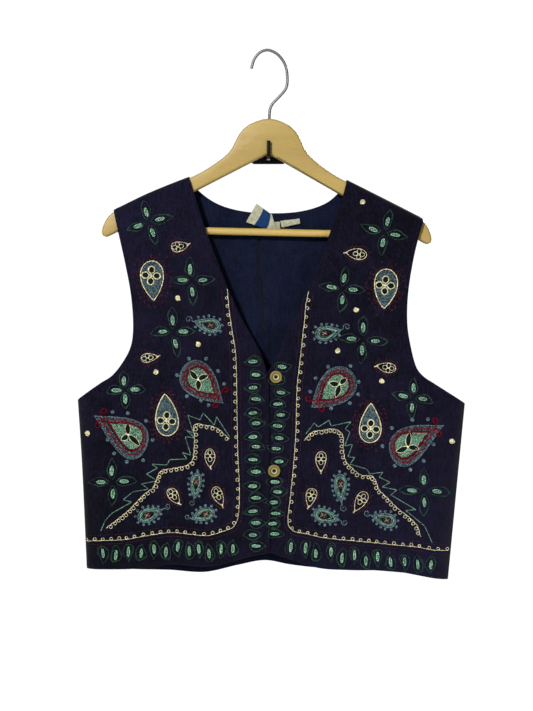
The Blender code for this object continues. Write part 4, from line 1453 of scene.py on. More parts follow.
def stitch_unit(name, strands):
    """One stitch, a unit long along X and a unit wide, of strands that bow apart and arch over the cloth."""
    verts, faces = [], []
    radius = 0.5 if strands == 1 else 0.27
    for strand in range(strands):
        side = 0.0 if strands == 1 else strand * 2.0 - 1.0
        first = len(verts)
        verts.append((-0.58, side * 0.06, -0.15))
        for s in (0.22, 0.55, 0.84):
            arch = math.sin(math.pi * s)
            middle = (1.16 * s - 0.58, side * 0.26 * arch**0.5, 0.42 * arch)
            for corner in range(3):
                angle = math.tau * corner / 3 + math.pi / 2
                verts.append(
                    (
                        middle[0],
                        middle[1] + math.cos(angle) * radius * (0.55 + 0.45 * arch),
                        middle[2] + math.sin(angle) * 0.42 * (0.55 + 0.45 * arch),
                    )
                )
        verts.append((0.58, side * 0.1, -0.1))
        last = len(verts) - 1
        for corner in range(3):
            follow = (corner + 1) % 3
            faces.append((first, first + 1 + corner, first + 1 + follow))
            faces.append((last, first + 7 + follow, first + 7 + corner))
            for ring in (first + 1, first + 4):
                faces.append((ring + corner, ring + 3 + corner, ring + 3 + follow, ring + follow))
    mesh = bpy.data.meshes.new(name)
    mesh.from_pydata(verts, [], faces)
    face_outwards(mesh)
    mesh.shade_smooth()
    return linked(name, mesh)


STITCH_INPUTS = (
    ("Stitch", "NodeSocketObject"),
    ("Pitch", "NodeSocketFloat"),
    ("Size", "NodeSocketVector"),
    ("Unevenness", "NodeSocketFloat"),
    ("Wander", "NodeSocketFloat"),
    ("Seed", "NodeSocketInt"),
    ("Thread", "NodeSocketMaterial"),
)
DROP_INPUTS = (
    ("Cloth", "NodeSocketObject"),
    ("Viewpoint", "NodeSocketVector"),
    ("Lift", "NodeSocketFloat"),
)


RAY_LENGTH = 10.0
# Added to a seed, so that sizes and turns of the stitches differ
SIZE_SEED = 7.0


def dropped_onto_cloth(nodes, given, curve):
    """Lines moved along the rays from the viewpoint to the cloth, less the points that miss it."""
    viewpoint = given.other("Viewpoint")
    rays = {
        "Target Geometry": nodes.form_of(given.other("Cloth"), "RELATIVE"),
        "Source Position": viewpoint,
        "Ray Direction": nodes.vector("SUBTRACT", nodes.add("GeometryNodeInputPosition"), viewpoint),
        "Ray Length": RAY_LENGTH,
    }
    hit = nodes.add("GeometryNodeRaycast", {}, rays)
    missed = nodes.add("FunctionNodeBooleanMath", {"operation": "NOT"}, {0: hit.other("Is Hit")})
    normal = hit.other("Hit Normal")
    curve = nodes.stored(curve, "cloth_normal", "FLOAT_VECTOR", normal)
    curve = nodes.stored(curve, "missed", "FLOAT", missed)
    lifted = nodes.vector("SCALE", normal, given.other("Lift"))
    seat = nodes.vector("ADD", hit.other("Hit Position"), lifted)
    curve = nodes.add("GeometryNodeSetPosition", {}, {"Geometry": curve, "Position": seat})
    settings = {"data_type": "FLOAT", "operation": "GREATER_THAN"}
    gone = nodes.add("FunctionNodeCompare", settings, {0: nodes.named("missed", "FLOAT"), 1: 0.5})
    inputs = {"Geometry": curve, "Selection": gone}
    return nodes.add("GeometryNodeDeleteGeometry", {"domain": "POINT"}, inputs)


def stitch_turn(nodes, given):
    """Turns each stitch along its line and its back to the cloth, then a little off the line."""
    inputs = {"Vector": nodes.add("GeometryNodeInputTangent")}
    turn = nodes.add("FunctionNodeAlignRotationToVector", {"axis": "X"}, inputs)
    inputs = {"Rotation": turn, "Vector": nodes.named("cloth_normal", "FLOAT_VECTOR")}
    turn = nodes.add("FunctionNodeAlignRotationToVector", {"axis": "Z", "pivot_axis": "X"}, inputs)
    wander = given.other("Wander")
    spin = nodes.varied(wander * -1.0, wander, given.other("Seed"))
    spin = nodes.add("ShaderNodeCombineXYZ", {}, {"Z": spin})
    inputs = {"Rotation": turn, "Rotate By": nodes.add("FunctionNodeEulerToRotation", {}, {0: spin})}
    return nodes.add("FunctionNodeRotateRotation", {"rotation_space": "LOCAL"}, inputs)


def stitch_tree(name, dropped):
    """Stitches along lines. The lines lie on the cloth already, or are dropped onto it from a viewpoint."""
    tree = bpy.data.node_groups.new(name, "GeometryNodeTree")
    sockets = (("Lines", "NodeSocketGeometry"), *STITCH_INPUTS, *(DROP_INPUTS if dropped else ()))
    for label, kind in sockets:
        tree.interface.new_socket(label, in_out="INPUT", socket_type=kind)
    tree.interface.new_socket("Stitches", in_out="OUTPUT", socket_type="NodeSocketGeometry")
    nodes = Nodes(tree)
    given = nodes.add("NodeGroupInput", output="Lines")
    curve = nodes.add("GeometryNodeMeshToCurve", {}, {"Mesh": given})
    inputs = {"Curve": curve, "Length": given.other("Pitch")}
    curve = nodes.add("GeometryNodeResampleCurve", {"mode": "LENGTH"}, inputs)
    if dropped:
        curve = dropped_onto_cloth(nodes, given, curve)
    turn = stitch_turn(nodes, given)
    uneven = given.other("Unevenness")
    size = nodes.varied(1.0 - uneven, 1.0 + uneven, given.other("Seed") + SIZE_SEED)
    size = nodes.vector("SCALE", given.other("Size"), size)
    stitch = nodes.form_of(given.other("Stitch"), "ORIGINAL")
    inputs = {"Points": curve, "Instance": stitch, "Rotation": turn, "Scale": size}
    made = nodes.add("GeometryNodeInstanceOnPoints", {}, inputs)
    made = nodes.add("GeometryNodeRealizeInstances", {}, {"Geometry": made})
    inputs = {"Geometry": made, "Material": given.other("Thread")}
    made = nodes.add("GeometryNodeSetMaterial", {}, inputs)
    result = tree.nodes.new("NodeGroupOutput")
    tree.links.new(made.socket, result.inputs["Stitches"])
    return tree


def sewn(lines, tree, values, name, finish):
    """The stitches that a tree makes along an object of lines, as a plain mesh."""
    sewing = lines.modifiers.new("Stitches", "NODES")
    sewing.node_group = tree
    for socket in tree.interface.items_tree:
        if socket.in_out == "INPUT" and socket.name in values:
            sewing[socket.identifier] = values[socket.name]
    made = evaluated_copy(lines, name, finish)
    for layer in ("cloth_normal", "missed"):
        if layer in made.data.attributes:
            made.data.attributes.remove(made.data.attributes[layer])
    if not made.data.polygons:
        raise RuntimeError(f"{name} has no stitches")
    made.data.shade_smooth()
    return made


# ---------------------------------------------------------------------------------------------------------
# What a user would change


class FolkVestCloth(bpy.types.PropertyGroup):
    """Sizes and colours of the cloth"""

    thickness: bpy.props.FloatProperty(
        name="Thickness", description="Thickness of a panel with its lining", default=0.0014, unit="LENGTH"
    )
    stitch_inset: bpy.props.FloatProperty(
        name="Topstitch Inset", description="From an edge to its topstitching", default=0.0046, unit="LENGTH"
    )
    stitch_pitch: bpy.props.FloatProperty(
        name="Topstitch Pitch",
        description="From one stitch of the edges to the next",
        default=0.0036,
        unit="LENGTH",
    )
    stitch_length: bpy.props.FloatProperty(
        name="Topstitch Length", description="Length of a stitch of the edges", default=0.0026, unit="LENGTH"
    )
    stitch_width: bpy.props.FloatProperty(
        name="Topstitch Width", description="Width of a stitch of the edges", default=0.0007, unit="LENGTH"
    )
    shade: bpy.props.FloatVectorProperty(
        name="Cloth Shade",
        description="Darkest colour of the outside",
        default=(0.0003, 0.0003, 0.0018),
        subtype="COLOR",
    )
    colour: bpy.props.FloatVectorProperty(
        name="Cloth Colour",
        description="Lightest colour of the outside",
        default=(0.0042, 0.004, 0.0134),
        subtype="COLOR",
    )
    lining_shade: bpy.props.FloatVectorProperty(
        name="Lining Shade",
        description="Darkest colour of the lining",
        default=(0.0009, 0.002, 0.0068),
        subtype="COLOR",
    )
    lining_colour: bpy.props.FloatVectorProperty(
        name="Lining Colour",
        description="Lightest colour of the lining",
        default=(0.0036, 0.0064, 0.0185),
        subtype="COLOR",
    )


class FolkVestThreads(bpy.types.PropertyGroup):
    """Colours of the embroidery threads, and how the stitches lie"""

    ivory: bpy.props.FloatVectorProperty(
        name="Ivory", description="Outlines, loops and knots", default=(0.72, 0.68, 0.43), subtype="COLOR"
    )
    mint: bpy.props.FloatVectorProperty(
        name="Mint", description="Fills of petals and leaves", default=(0.205, 0.4, 0.268), subtype="COLOR"
    )
    leaf_green: bpy.props.FloatVectorProperty(
        name="Leaf Green",
        description="Outlines of petals and leaves",
        default=(0.021, 0.05, 0.033),
        subtype="COLOR",
    )
    deep_green: bpy.props.FloatVectorProperty(
        name="Deep Green",
        description="Middles of the cream rings",
        default=(0.002, 0.014, 0.008),
        subtype="COLOR",
    )
    steel_blue: bpy.props.FloatVectorProperty(
        name="Steel Blue", description="Teardrops and paisleys", default=(0.1, 0.165, 0.185), subtype="COLOR"
    )
    red: bpy.props.FloatVectorProperty(
        name="Red",
        description="Lines in the paisleys and their tendrils",
        default=(0.124, 0.0018, 0.0088),
        subtype="COLOR",
    )
    maroon: bpy.props.FloatVectorProperty(
        name="Maroon",
        description="Strokes that stand round the teardrops",
        default=(0.05, 0.0125, 0.021),
        subtype="COLOR",
    )
    pale_green: bpy.props.FloatVectorProperty(
        name="Pale Green", description="Zigzag over the hill", default=(0.13, 0.27, 0.19), subtype="COLOR"
    )
    lift: bpy.props.FloatProperty(
        name="Lift", description="How far the stitches stand off the cloth", default=0.0002, unit="LENGTH"
    )
    unevenness: bpy.props.FloatProperty(
        name="Unevenness", description="How much stitches differ in size", default=0.14, subtype="FACTOR"
    )
    wander: bpy.props.FloatProperty(
        name="Wander", description="How far stitches turn off their line", default=0.22, subtype="ANGLE"
    )


class FolkVestTrim(bpy.types.PropertyGroup):
    """Colours of the buttons and labels"""

    horn: bpy.props.FloatVectorProperty(
        name="Horn", description="Pale middle of the buttons", default=(0.168, 0.126, 0.03), subtype="COLOR"
    )
    horn_rim: bpy.props.FloatVectorProperty(
        name="Horn Rim", description="Rim of the buttons", default=(0.065, 0.056, 0.02), subtype="COLOR"
    )
    label: bpy.props.FloatVectorProperty(
        name="Label", description="Ground of the labels", default=(0.262, 0.262, 0.185), subtype="COLOR"
    )
    label_band: bpy.props.FloatVectorProperty(
        name="Label Band",
        description="Band across the neck label",
        default=(0.002, 0.021, 0.078),
        subtype="COLOR",
    )


class FolkVestHanger(bpy.types.PropertyGroup):
    """Edge and colours of the wooden hanger"""

    edge: bpy.props.FloatProperty(
        name="Wood Edge", description="Radius of the wood's edges", default=0.0032, unit="LENGTH"
    )
    pale: bpy.props.FloatVectorProperty(
        name="Pale Wood",
        description="Lightest colour of the wood",
        default=(0.276, 0.2, 0.053),
        subtype="COLOR",
    )
    tan: bpy.props.FloatVectorProperty(
        name="Tan Wood",
        description="Colour of the wood's grain",
        default=(0.222, 0.157, 0.038),
        subtype="COLOR",
    )
    dark: bpy.props.FloatVectorProperty(
        name="Dark Wood",
        description="Colour of the wood's flecks",
        default=(0.142, 0.088, 0.02),
        subtype="COLOR",
    )


class FolkVestStage(bpy.types.PropertyGroup):
    """Light, floor and camera"""

    backdrop: bpy.props.FloatProperty(
        name="Backdrop", description="Brightness of the backdrop behind the vest", default=1.05, min=0.0
    )
    room: bpy.props.FloatProperty(
        name="Room", description="Brightness of the room round the vest", default=0.12, min=0.0
    )
    key: bpy.props.FloatProperty(
        name="Key Light", description="Power of the light at the upper left", default=322.0, min=0.0
    )
    fill: bpy.props.FloatProperty(
        name="Fill Light", description="Power of the light at the right", default=9.0, min=0.0
    )
    back: bpy.props.FloatProperty(
        name="Back Light", description="Power of the light behind the vest", default=200.0, min=0.0
    )
    floor_height: bpy.props.FloatProperty(
        name="Floor", description="Height of the floor", default=-1.35, unit="LENGTH"
    )
    lens: bpy.props.FloatProperty(
        name="Lens", description="Focal length of the camera in millimetres", default=75.18
    )


# ---------------------------------------------------------------------------------------------------------
# Operators


class FOLKVEST_OT_cloth(bpy.types.Operator):
    """Make the two fronts and the back as thin shells with topstitched edges"""

    bl_idname = "folkvest.cloth"
    bl_label = "Cloth Panels"

    def execute(self, context):
        looks = context.scene.folk_vest_cloth
        self.thickness, self.inset = looks.thickness / MM, looks.stitch_inset / MM
        # The last argument of each finish sets how strong its painted light and shade are: full on the outside,
        # none on the lining
        self.navy = cotton_finish("Navy cotton", looks.shade, looks.colour, 260.0, 0.25, 0.06, 1.0)
        self.lining = cotton_finish(
            "Navy lining", looks.lining_shade, looks.lining_colour, 300.0, 0.1, 0.04, 0.0
        )
        seams = []
        panels = {node: front_panel(*edges) for node, edges in FRONTS.items()}
        for node, panel in panels.items():
            seams += self.front(node, panel)
        seams += self.back(back_panel())
        self.topstitch(seams, looks)
        return {"FINISHED"}

    def front(self, node, panel):
        above = (panel.rows <= ARMHOLE_SHARE)[:, None]
        side = np.where(above, panel.from_left, FAR)
        seam = np.where(above, FAR, panel.from_left)
        free = (side, panel.from_right, panel.from_bottom)
        relief = sum(hem_relief(distance, self.inset) for distance in free)
        relief = relief * eased(panel.from_top / SEAM_FADE) * eased(seam / SEAM_FADE)
        outer = panel.points(relief)
        wall = thinned_at_seam(edge_thickness(free, self.thickness), panel.from_top)
        normals = self.two_sided(node, "navy_cloth", panel, outer, -1, wall)
        return self.edge_lines(outer, normals, panel, (0,), (True, True))

    def back(self, panel):
        above = (panel.rows <= ARMHOLE_SHARE)[:, None]
        left = np.where(above, panel.from_left, FAR)
        right = np.where(above, panel.from_right, FAR)
        seam = np.where(above, FAR, np.minimum(panel.from_left, panel.from_right))
        across = panel.spots[..., 0]
        start, end = BACK_NECK[0][0], BACK_NECK[-1][0]
        shoulder = (across < start) | (across > end)
        neck = np.where(shoulder, FAR, panel.from_top)
        sewn_top = np.where(shoulder, panel.from_top, FAR)
        relief = sum(hem_relief(distance, self.inset) for distance in (left, right, panel.from_bottom))
        inside_neck = eased(np.minimum(across - start, end - across) / SEAM_THICKENS)
        relief = relief + hem_relief(neck, self.inset) * inside_neck
        relief = -relief * eased(seam / SEAM_FADE) * eased(sewn_top / SEAM_FADE)
        outer = panel.points(relief)
        wall = edge_thickness((left, right, neck, panel.from_bottom), self.thickness)
        wall = thinned_at_seam(wall, sewn_top)
        normals = self.two_sided("back", "navy_lining", panel, outer, 1, wall)
        inside = outer - normals * (wall[..., None] + LINING_LIFT)
        lines = self.edge_lines(outer, normals, panel, (0, -1), (True, False))
        return lines + self.edge_lines(inside, -normals, panel, (), (True, False), neck=True)

    def two_sided(self, node, slot, panel, outer, outward, wall):
        """A shell with cloth on its outside and lining on its inside. Gives its normals."""
        made = shell(f"vest_{node}", outer, outward, wall, self.navy)
        made.data.materials.append(self.lining)
        normals = np.zeros(len(made.data.polygons) * 3)
        made.data.polygons.foreach_get("normal", normals)
        inside = normals.reshape(-1, 3)[:, 1] * outward < -0.02
        made.data.polygons.foreach_set("material_index", inside.astype(np.int32))
        made.data.set_sharp_from_angle(angle=math.radians(PANEL_CREASE))
        carry(made, slot, node)
        width, length, area = flat_size(panel.points())
        return grid_normals(outer, outward)

    def edge_lines(self, grid, normals, panel, sides, ends, neck=False):
        """Lines a little in from a panel's free edges: armholes, hem, and the neck and centre."""
        lines = []
        armhole = panel.rows <= ARMHOLE_SHARE
        for side in sides:
            distance = panel.from_left if side == 0 else panel.from_right
            column = np.abs(distance[len(panel.rows) // 3] - self.inset).argmin()
            lines.append((grid[armhole, column], normals[armhole, column], False))
        hem, fronts = ends
        if hem:
            row = np.abs(panel.from_bottom[:, 3] - self.inset).argmin()
            lines.append((grid[row], normals[row], False))
        if fronts:
            column = np.abs(panel.from_right[len(panel.rows) // 2] - self.inset).argmin()
            lines.append((grid[3:-3, column], normals[3:-3, column], False))
        if neck or not fronts:
            row = np.abs(panel.from_top[:, grid.shape[1] // 2] - self.inset).argmin()
            across = panel.spots[row, :, 0]
            start, end = BACK_NECK[0][0] + NECK_STITCH_STOPS, BACK_NECK[-1][0] - NECK_STITCH_STOPS
            middle = (across > start) & (across < end)
            lines.append((grid[row, middle], normals[row, middle], False))
        return lines

    def topstitch(self, seams, looks):
        unit = stitch_unit("Topstitch", 1)
        colour = tuple(channel * 1.5 for channel in looks.colour)
        thread = thread_finish("Navy sewing thread", colour, 0.6)
        values = {
            "Stitch": unit,
            "Pitch": looks.stitch_pitch,
            "Size": (looks.stitch_length, looks.stitch_width, 0.0004),
            "Unevenness": 0.08,
            "Wander": 0.05,
            "Seed": 5,
            "Thread": thread,
        }
        lines = line_mesh("topstitch_lines", seams)
        made = sewn(lines, stitch_tree("Topstitching", False), values, "vest_topstitching", thread)
        bpy.data.objects.remove(unit)
        carry(made, None)


class FOLKVEST_OT_embroidery(bpy.types.Operator):
    """Drop the embroidery's lines onto the fronts and sew them with stitches"""

    bl_idname = "folkvest.embroidery"
    bl_label = "Embroidery"

    def execute(self, context):
        looks = context.scene.folk_vest_threads
        ground = self.ground()
        tree = stitch_tree("Embroidery", True)
        twin, single = stitch_unit("Chain stitch", 2), stitch_unit("Straight stitch", 1)
        pattern = whole_pattern()
        for seed, (thread, (length, chain_width, fine_width, height, fleck)) in enumerate(THREADS.items()):
            label = f"{thread.replace('_', ' ').capitalize()} thread"
            finish = thread_finish(label, getattr(looks, thread), fleck)
            kinds = {
                "chain": (twin, length, chain_width),
                "fine": (single, length * 0.8, fine_width),
                "row": (single, length, chain_width * 0.85),
            }
            pieces = []
            for kind, (unit, pitch, width) in kinds.items():
                strokes = pattern.strokes[thread][kind]
                if not strokes:
                    continue
                values = {
                    "Stitch": unit,
                    "Pitch": pitch * MM,
                    "Size": (pitch * MM, width * MM, height * MM),
                    "Unevenness": looks.unevenness,
                    "Wander": looks.wander * (2.0 if kind == "row" else 1.0),
                    "Seed": seed * 10,
                    "Thread": finish,
                    "Cloth": ground,
                    "Viewpoint": tuple(value * MM for value in VIEW_POINT),
                    "Lift": looks.lift,
                }
                lines = line_mesh(f"{thread}_{kind}_lines", [self.on_plane(*stroke) for stroke in strokes])
                pieces.append(sewn(lines, tree, values, f"{thread}_{kind}_stitches", finish))
            made = joined_pieces(pieces, f"embroidery_{thread}")
            carry(made, None)
        for spare in (ground, twin, single):
            bpy.data.objects.remove(spare)
        return {"FINISHED"}

    def ground(self):
        """Both fronts as one mesh, for the lines to drop onto."""
        fronts = [bpy.data.objects[name] for name in ("vest_front_left", "vest_front_right")]
        return linked("Embroidery ground", merged(fronts, "Embroidery ground"))

    def on_plane(self, points, closed):
        spots = np.stack((points[:, 0], np.full(len(points), -FACE_DEPTH), points[:, 1]), axis=1)
        return spots, None, closed


def merged(objects, name):
    """The meshes of several objects as one smooth mesh."""
    form = bmesh.new()
    for item in objects:
        form.from_mesh(item.data)
    mesh = mesh_from(form, name)
    mesh.shade_smooth()
    return mesh


def joined_pieces(pieces, name):
    """Several objects with one finish as one piece."""
    mesh = merged(pieces, name)
    for material in pieces[0].data.materials:
        mesh.materials.append(material)
    for piece in pieces:
        bpy.data.objects.remove(piece)
    return linked(name, mesh)


BUTTONS = {"button_upper": (9.8, -295.3), "button_lower": (7.4, -419.0)}
BUTTON_CLEARANCE = 0.8
SHANK_RADIUS = 1.6
SHANK_SEAT = 0.4
# Turned profile from the back's centre out and round to the dish: radius, height
BUTTON_PROFILE = (
    (0, 0), (3, 0), (6.4, 0.05), (7.5, 0.55), (8.05, 1.3), (8.15, 1.95), (7.8, 2.7), (7.2, 3.05),
    (6.5, 3), (5.9, 2.5), (5.5, 2), (5.2, 1.95), (4.9, 2.3), (4.5, 2.45), (4.1, 2.2), (3.8, 1.5),
    (3.4, 1.1), (1.6, 1), (0, 1),
)
BUTTON_SEGMENTS = 56
HOLE_RADIUS = 0.8
HOLE_SPREAD = 1.35
# Height of the dish's floor, and how deep a thread goes into its hole and how far it arches
DISH_HEIGHT = 1.1
THREAD_SUNK = 1.6
THREAD_RISE = 2.0
THREAD_RADIUS = 0.42
THREAD_SHIFT = 0.4
THREAD_STEPS = 12
COIL_RADIUS = 0.3
COIL_PITCH = 0.45
COIL_STEPS = 12


def turned_mesh(name, profile, segments):
    """A closed solid turned about -Y from rows of radius and height, in millimetres."""
    form = bmesh.new()
    rings = []
    for radius, height in profile:
        if radius == 0.0:
            rings.append([form.verts.new((0.0, -height * MM, 0.0))])
            continue
        ring = []
        for i in range(segments):
            angle = math.tau * i / segments
            ring.append(form.verts.new(in_metres(radius * math.cos(angle), height, radius * math.sin(angle))))
        rings.append(ring)
    for low, high in zip(rings, rings[1:]):
        for i in range(segments):
            j = (i + 1) % segments
            if len(low) == 1:
                form.faces.new((low[0], high[i], high[j]))
            elif len(high) == 1:
                form.faces.new((low[i], high[0], low[j]))
            else:
                form.faces.new((low[i], high[i], high[j], low[j]))
    bmesh.ops.recalc_face_normals(form, faces=form.faces)
    return mesh_from(form, name)


def placed(name, mesh, finish, matrix=None):
    """An object at the origin, with its place taken into its mesh."""
    if matrix is not None:
        mesh.transform(matrix)
    mesh.materials.append(finish)
    return linked(name, mesh)


def cylinder(name, radius, start, end, segments, finish):
    """A capped cylinder from one point to another, in metres."""
    start, end = Vector(start), Vector(end)
    form = bmesh.new()
    bmesh.ops.create_cone(
        form, cap_ends=True, segments=segments, radius1=radius, radius2=radius, depth=(end - start).length
    )
    turn = Vector((0.0, 0.0, 1.0)).rotation_difference(end - start).to_matrix().to_4x4()
    return placed(name, mesh_from(form, name), finish, Matrix.Translation((start + end) / 2) @ turn)


def tube(name, points, radius, finish, sides):
    """A round thread or wire along points, in metres."""
    curve = bpy.data.curves.new(name, "CURVE")
    curve.dimensions = "3D"
    curve.bevel_depth = radius
    curve.bevel_resolution = sides
    curve.use_fill_caps = True
    spline = curve.splines.new("POLY")
    spline.points.add(len(points) - 1)
    for spot, point in zip(spline.points, points):
        spot.co = (*point, 1.0)
    made = evaluated_copy(linked(name, curve), name, finish)
    bpy.data.curves.remove(curve)
    made.data.shade_smooth()
    return made


def cut(made, tools, operation="DIFFERENCE"):
    """Take the tools out of a piece, or add them to it, and remove them."""
    for tool in tools:
        step = made.modifiers.new(tool.name, "BOOLEAN")
        step.operation = operation
        step.solver = "EXACT"
        step.object = tool
    name, finish = made.name, made.data.materials[0]
    made.name = f"{name}_blank"
    done = evaluated_copy(made, name, finish)
    for tool in tools:
        bpy.data.objects.remove(tool)
    return done


class FOLKVEST_OT_buttons(bpy.types.Operator):
    """Turn the two four-hole buttons and sew them on, with thread through their holes and a shank"""

    bl_idname = "folkvest.buttons"
    bl_label = "Buttons"

    def execute(self, context):
        looks = context.scene.folk_vest_trim
        thread = thread_finish("Button thread", (0.003, 0.003, 0.004), 0.7)
        for name, (across, height) in BUTTONS.items():
            horn = horn_finish(f"Horn of {name}", across, height, looks.horn, looks.horn_rim)
            self.button(name, across, height, horn, thread)
        return {"FINISHED"}

    def button(self, name, across, height, horn, thread):
        shank = np.array(((across - SHANK_RADIUS, height), (across + SHANK_RADIUS, height)))
        seat = right_depth(shank).max() + SHANK_SEAT
        over = left_depth(np.array(((LEFT_CENTRE[0][0], height),)))[0] + BUTTON_CLEARANCE
        place = Matrix.Translation(Vector((across, -over, height)) * MM)
        made = placed(f"{name}_horn", turned_mesh(name, BUTTON_PROFILE, BUTTON_SEGMENTS), horn, place)
        holes = []
        corners = [
            (across + side * HOLE_SPREAD, height + rise * HOLE_SPREAD) for rise in (-1, 1) for side in (-1, 1)
        ]
        for i, (x, z) in enumerate(corners):
            start, end = in_metres(x, over - 2.0, z), in_metres(x, over + 5.0, z)
            holes.append(cylinder(f"hole_{i}", HOLE_RADIUS * MM, start, end, 16, horn))
        made = cut(made, holes)
        sharpened(made.data, 50)
        carry(made, "horn", name)
        top = over + DISH_HEIGHT
        threads = []
        for i, (a, b) in enumerate(((0, 2), (1, 3), (2, 3))):
            start, end = np.array(corners[a]), np.array(corners[b])
            side = turned_left((end - start) / np.linalg.norm(end - start))
            for shift in (-THREAD_SHIFT, THREAD_SHIFT):
                points = []
                for step in range(THREAD_STEPS + 1):
                    s = step / THREAD_STEPS
                    x, z = start + (end - start) * s + side * shift
                    depth = top - THREAD_SUNK + THREAD_RISE * math.sin(math.pi * s) ** 0.35
                    points.append(in_metres(x, depth, z))
                threads.append(tube(f"thread_{i}_{shift}", points, THREAD_RADIUS * MM, thread, 2))
        threads.append(self.coil(across, height, seat, over, thread))
        start, end = in_metres(across, seat - 0.3, height), in_metres(across, over + 0.4, height)
        threads.append(cylinder("shank_core", (SHANK_RADIUS - 0.35) * MM, start, end, 20, thread))
        made = joined_pieces(threads, f"{name}_thread")
        carry(made, None)

    def coil(self, across, height, seat, over, thread):
        """Thread wound round the shank, from the cloth to the button's back."""
        steps = max(round((over - seat) / COIL_PITCH), 3) * COIL_STEPS
        radius = SHANK_RADIUS - COIL_RADIUS
        points = []
        for step in range(steps + 1):
            angle = step / COIL_STEPS * math.tau
            depth = seat + (over - seat) * step / steps
            x, z = across + radius * math.cos(angle), height + radius * math.sin(angle)
            points.append(in_metres(x, depth, z))
        return tube("shank_coil", points, COIL_RADIUS * MM, thread, 2)


LABEL_THICKNESS = 0.8
LABEL_GAP = 0.35
# Corners of each label: top left, top right, bottom left, bottom right
LABELS = {
    "neck_label": ((-16.0, -63.7), (4.5, -78.5), (-30.0, -88.5), (12.4, -104.0)),
    "care_label": ((6.6, -88.2), (15.1, -88.0), (12.5, -104.0), (16.1, -104.0)),
    "size_label": ((15.6, -86.8), (41.4, -83.8), (17.8, -95.8), (42.2, -90.3)),
}
# How far each label stands off the back: at its top left, top right, bottom left, bottom right, middle
LABEL_LIFT = {
    "neck_label": (2.2, 1.9, 2.6, 2.3, 0.6),
    "care_label": (0.0, 0.0, 0.0, 0.0, 0.0),
    "size_label": (0.0, 1.6, 1.2, 2.4, 0.6),
}
LABEL_RIPPLE = 0.12
LABEL_CRUMPLE = 0.28
# Steps across and down each label's grid
LABEL_STEPS = 26
# Where the blue band starts and ends across the neck label, at its top and at its bottom
NECK_BAND = ((0.44, 0.92), (0.25, 0.65))


class FOLKVEST_OT_labels(bpy.types.Operator):
    """Lay the blank labels inside the back neck"""

    bl_idname = "folkvest.labels"
    bl_label = "Labels"

    def execute(self, context):
        looks = context.scene.folk_vest_trim
        finishes = {
            "neck_label": label_finish("Neck label satin", looks.label, looks.label_band, NECK_BAND),
            "care_label": label_finish("Care label satin", looks.label, looks.label_band, None),
            "size_label": label_finish("Size label satin", looks.label, looks.label_band, None),
        }
        cloth = context.scene.folk_vest_cloth.thickness / MM
        for name, finish in finishes.items():
            self.label(name, finish, cloth)
        return {"FINISHED"}

    def label(self, name, finish, cloth):
        corners = np.array(LABELS[name])
        lifts = LABEL_LIFT[name]
        u, v = np.meshgrid(np.linspace(0, 1, LABEL_STEPS + 1), np.linspace(0, 1, LABEL_STEPS + 1))
        weights = np.stack(((1 - u) * (1 - v), u * (1 - v), (1 - u) * v, u * v), axis=-1)
        spots = weights @ corners
        lift = weights @ np.array(lifts[:4]) + lifts[4] * np.sin(math.pi * u) * np.sin(math.pi * v)
        ripple = LABEL_RIPPLE * np.sin(u * 9.0 + v * 4.0)
        ripple += LABEL_CRUMPLE * np.sin(u * 21.0 + 2.5 * np.sin(v * 6.0)) * np.sin(v * 13.0 + u * 3.0)
        inside = back_depth(spots) + cloth + LABEL_GAP + LABEL_THICKNESS
        grid = np.stack((spots[..., 0], -(inside + lift + ripple), spots[..., 1]), axis=-1)
        made = shell(f"{name}_satin", grid, -1, LABEL_THICKNESS * 0.7, finish, np.stack((u, v), axis=-1))
        made.data.set_sharp_from_angle(angle=math.radians(50))
        carry(made, "label_cloth", name)


HANGER_TILT = 1.3
HANGER_DEPTH = 20.0
HANGER_THICKNESS = 15.0
HANGER_TOP = (
    (0, 48.2), (8.6, 47.1), (25.2, 40.5), (33.9, 33.8), (39.2, 27.2), (42.6, 20.5), (45.8, 13.8), (48.9, 7.2),
    (53.8, 0.6), (61.1, -6), (77, -17.8), (95.7, -29.1), (150, -54.7), (203.7, -80.3),
)
HANGER_TIP = (
    (203.7, -80.3), (210.6, -86.4), (215.6, -94.5), (218.7, -103), (219.4, -108.4), (217.8, -112.4),
    (213.6, -113.6), (206, -110.2),
)
HANGER_UNDER = ((206, -110.2), (93, -48.4), (21, -9.2), (5, -0.9), (0, 0))
TOP_STEPS = 26
TIP_STEPS = 11
# Line below which painted shade darkens the right arm, where it turns to its underside: height at the middle,
# slope, where it starts across
UNDERSIDE_SHADE = (4.2 * MM, -0.583, 10.0 * MM)
ROD_PALER = 1.28
BAR_HEIGHT = -102.7
BAR_RADIUS = 4.8
BAR_HALF_LENGTH = 205.0
BORE_CLEARANCE = 0.3
WIRE_BORE_TOP = 60.0
WIRE_RADIUS = 1.9
WIRE_ROUTE = (
    (0, 35), (0, 50), (0.8, 62), (4.2, 69), (13.7, 79.6), (20.4, 88), (22.8, 96), (22.5, 108.5),
    (20.6, 118), (15.8, 127.4), (7.5, 135.8), (-4, 140.2), (-14.6, 136.6), (-22, 127.2), (-25.4, 115.1),
)
WIRE_POINTS = 150


def slab(name, outline, thickness, finish):
    """A closed slab: an outline of (across, height), with half its thickness each side of Y 0."""
    form = bmesh.new()
    half = thickness / 2
    verts = [form.verts.new((x * MM, -half * MM, z * MM)) for x, z in outline]
    face = form.faces.new(verts)
    made = bmesh.ops.extrude_face_region(form, geom=[face])
    moved = [item for item in made["geom"] if isinstance(item, bmesh.types.BMVert)]
    bmesh.ops.translate(form, verts=moved, vec=(0.0, thickness * MM, 0.0))
    bmesh.ops.recalc_face_normals(form, faces=form.faces)
    return placed(name, mesh_from(form, name), finish)


def rounded(made, width, segments, angle=60.0):
    edge = made.modifiers.new("Edges", "BEVEL")
    edge.width = width
    edge.segments = segments
    edge.limit_method = "ANGLE"
    edge.angle_limit = math.radians(angle)
    edge.use_clamp_overlap = False
    return made


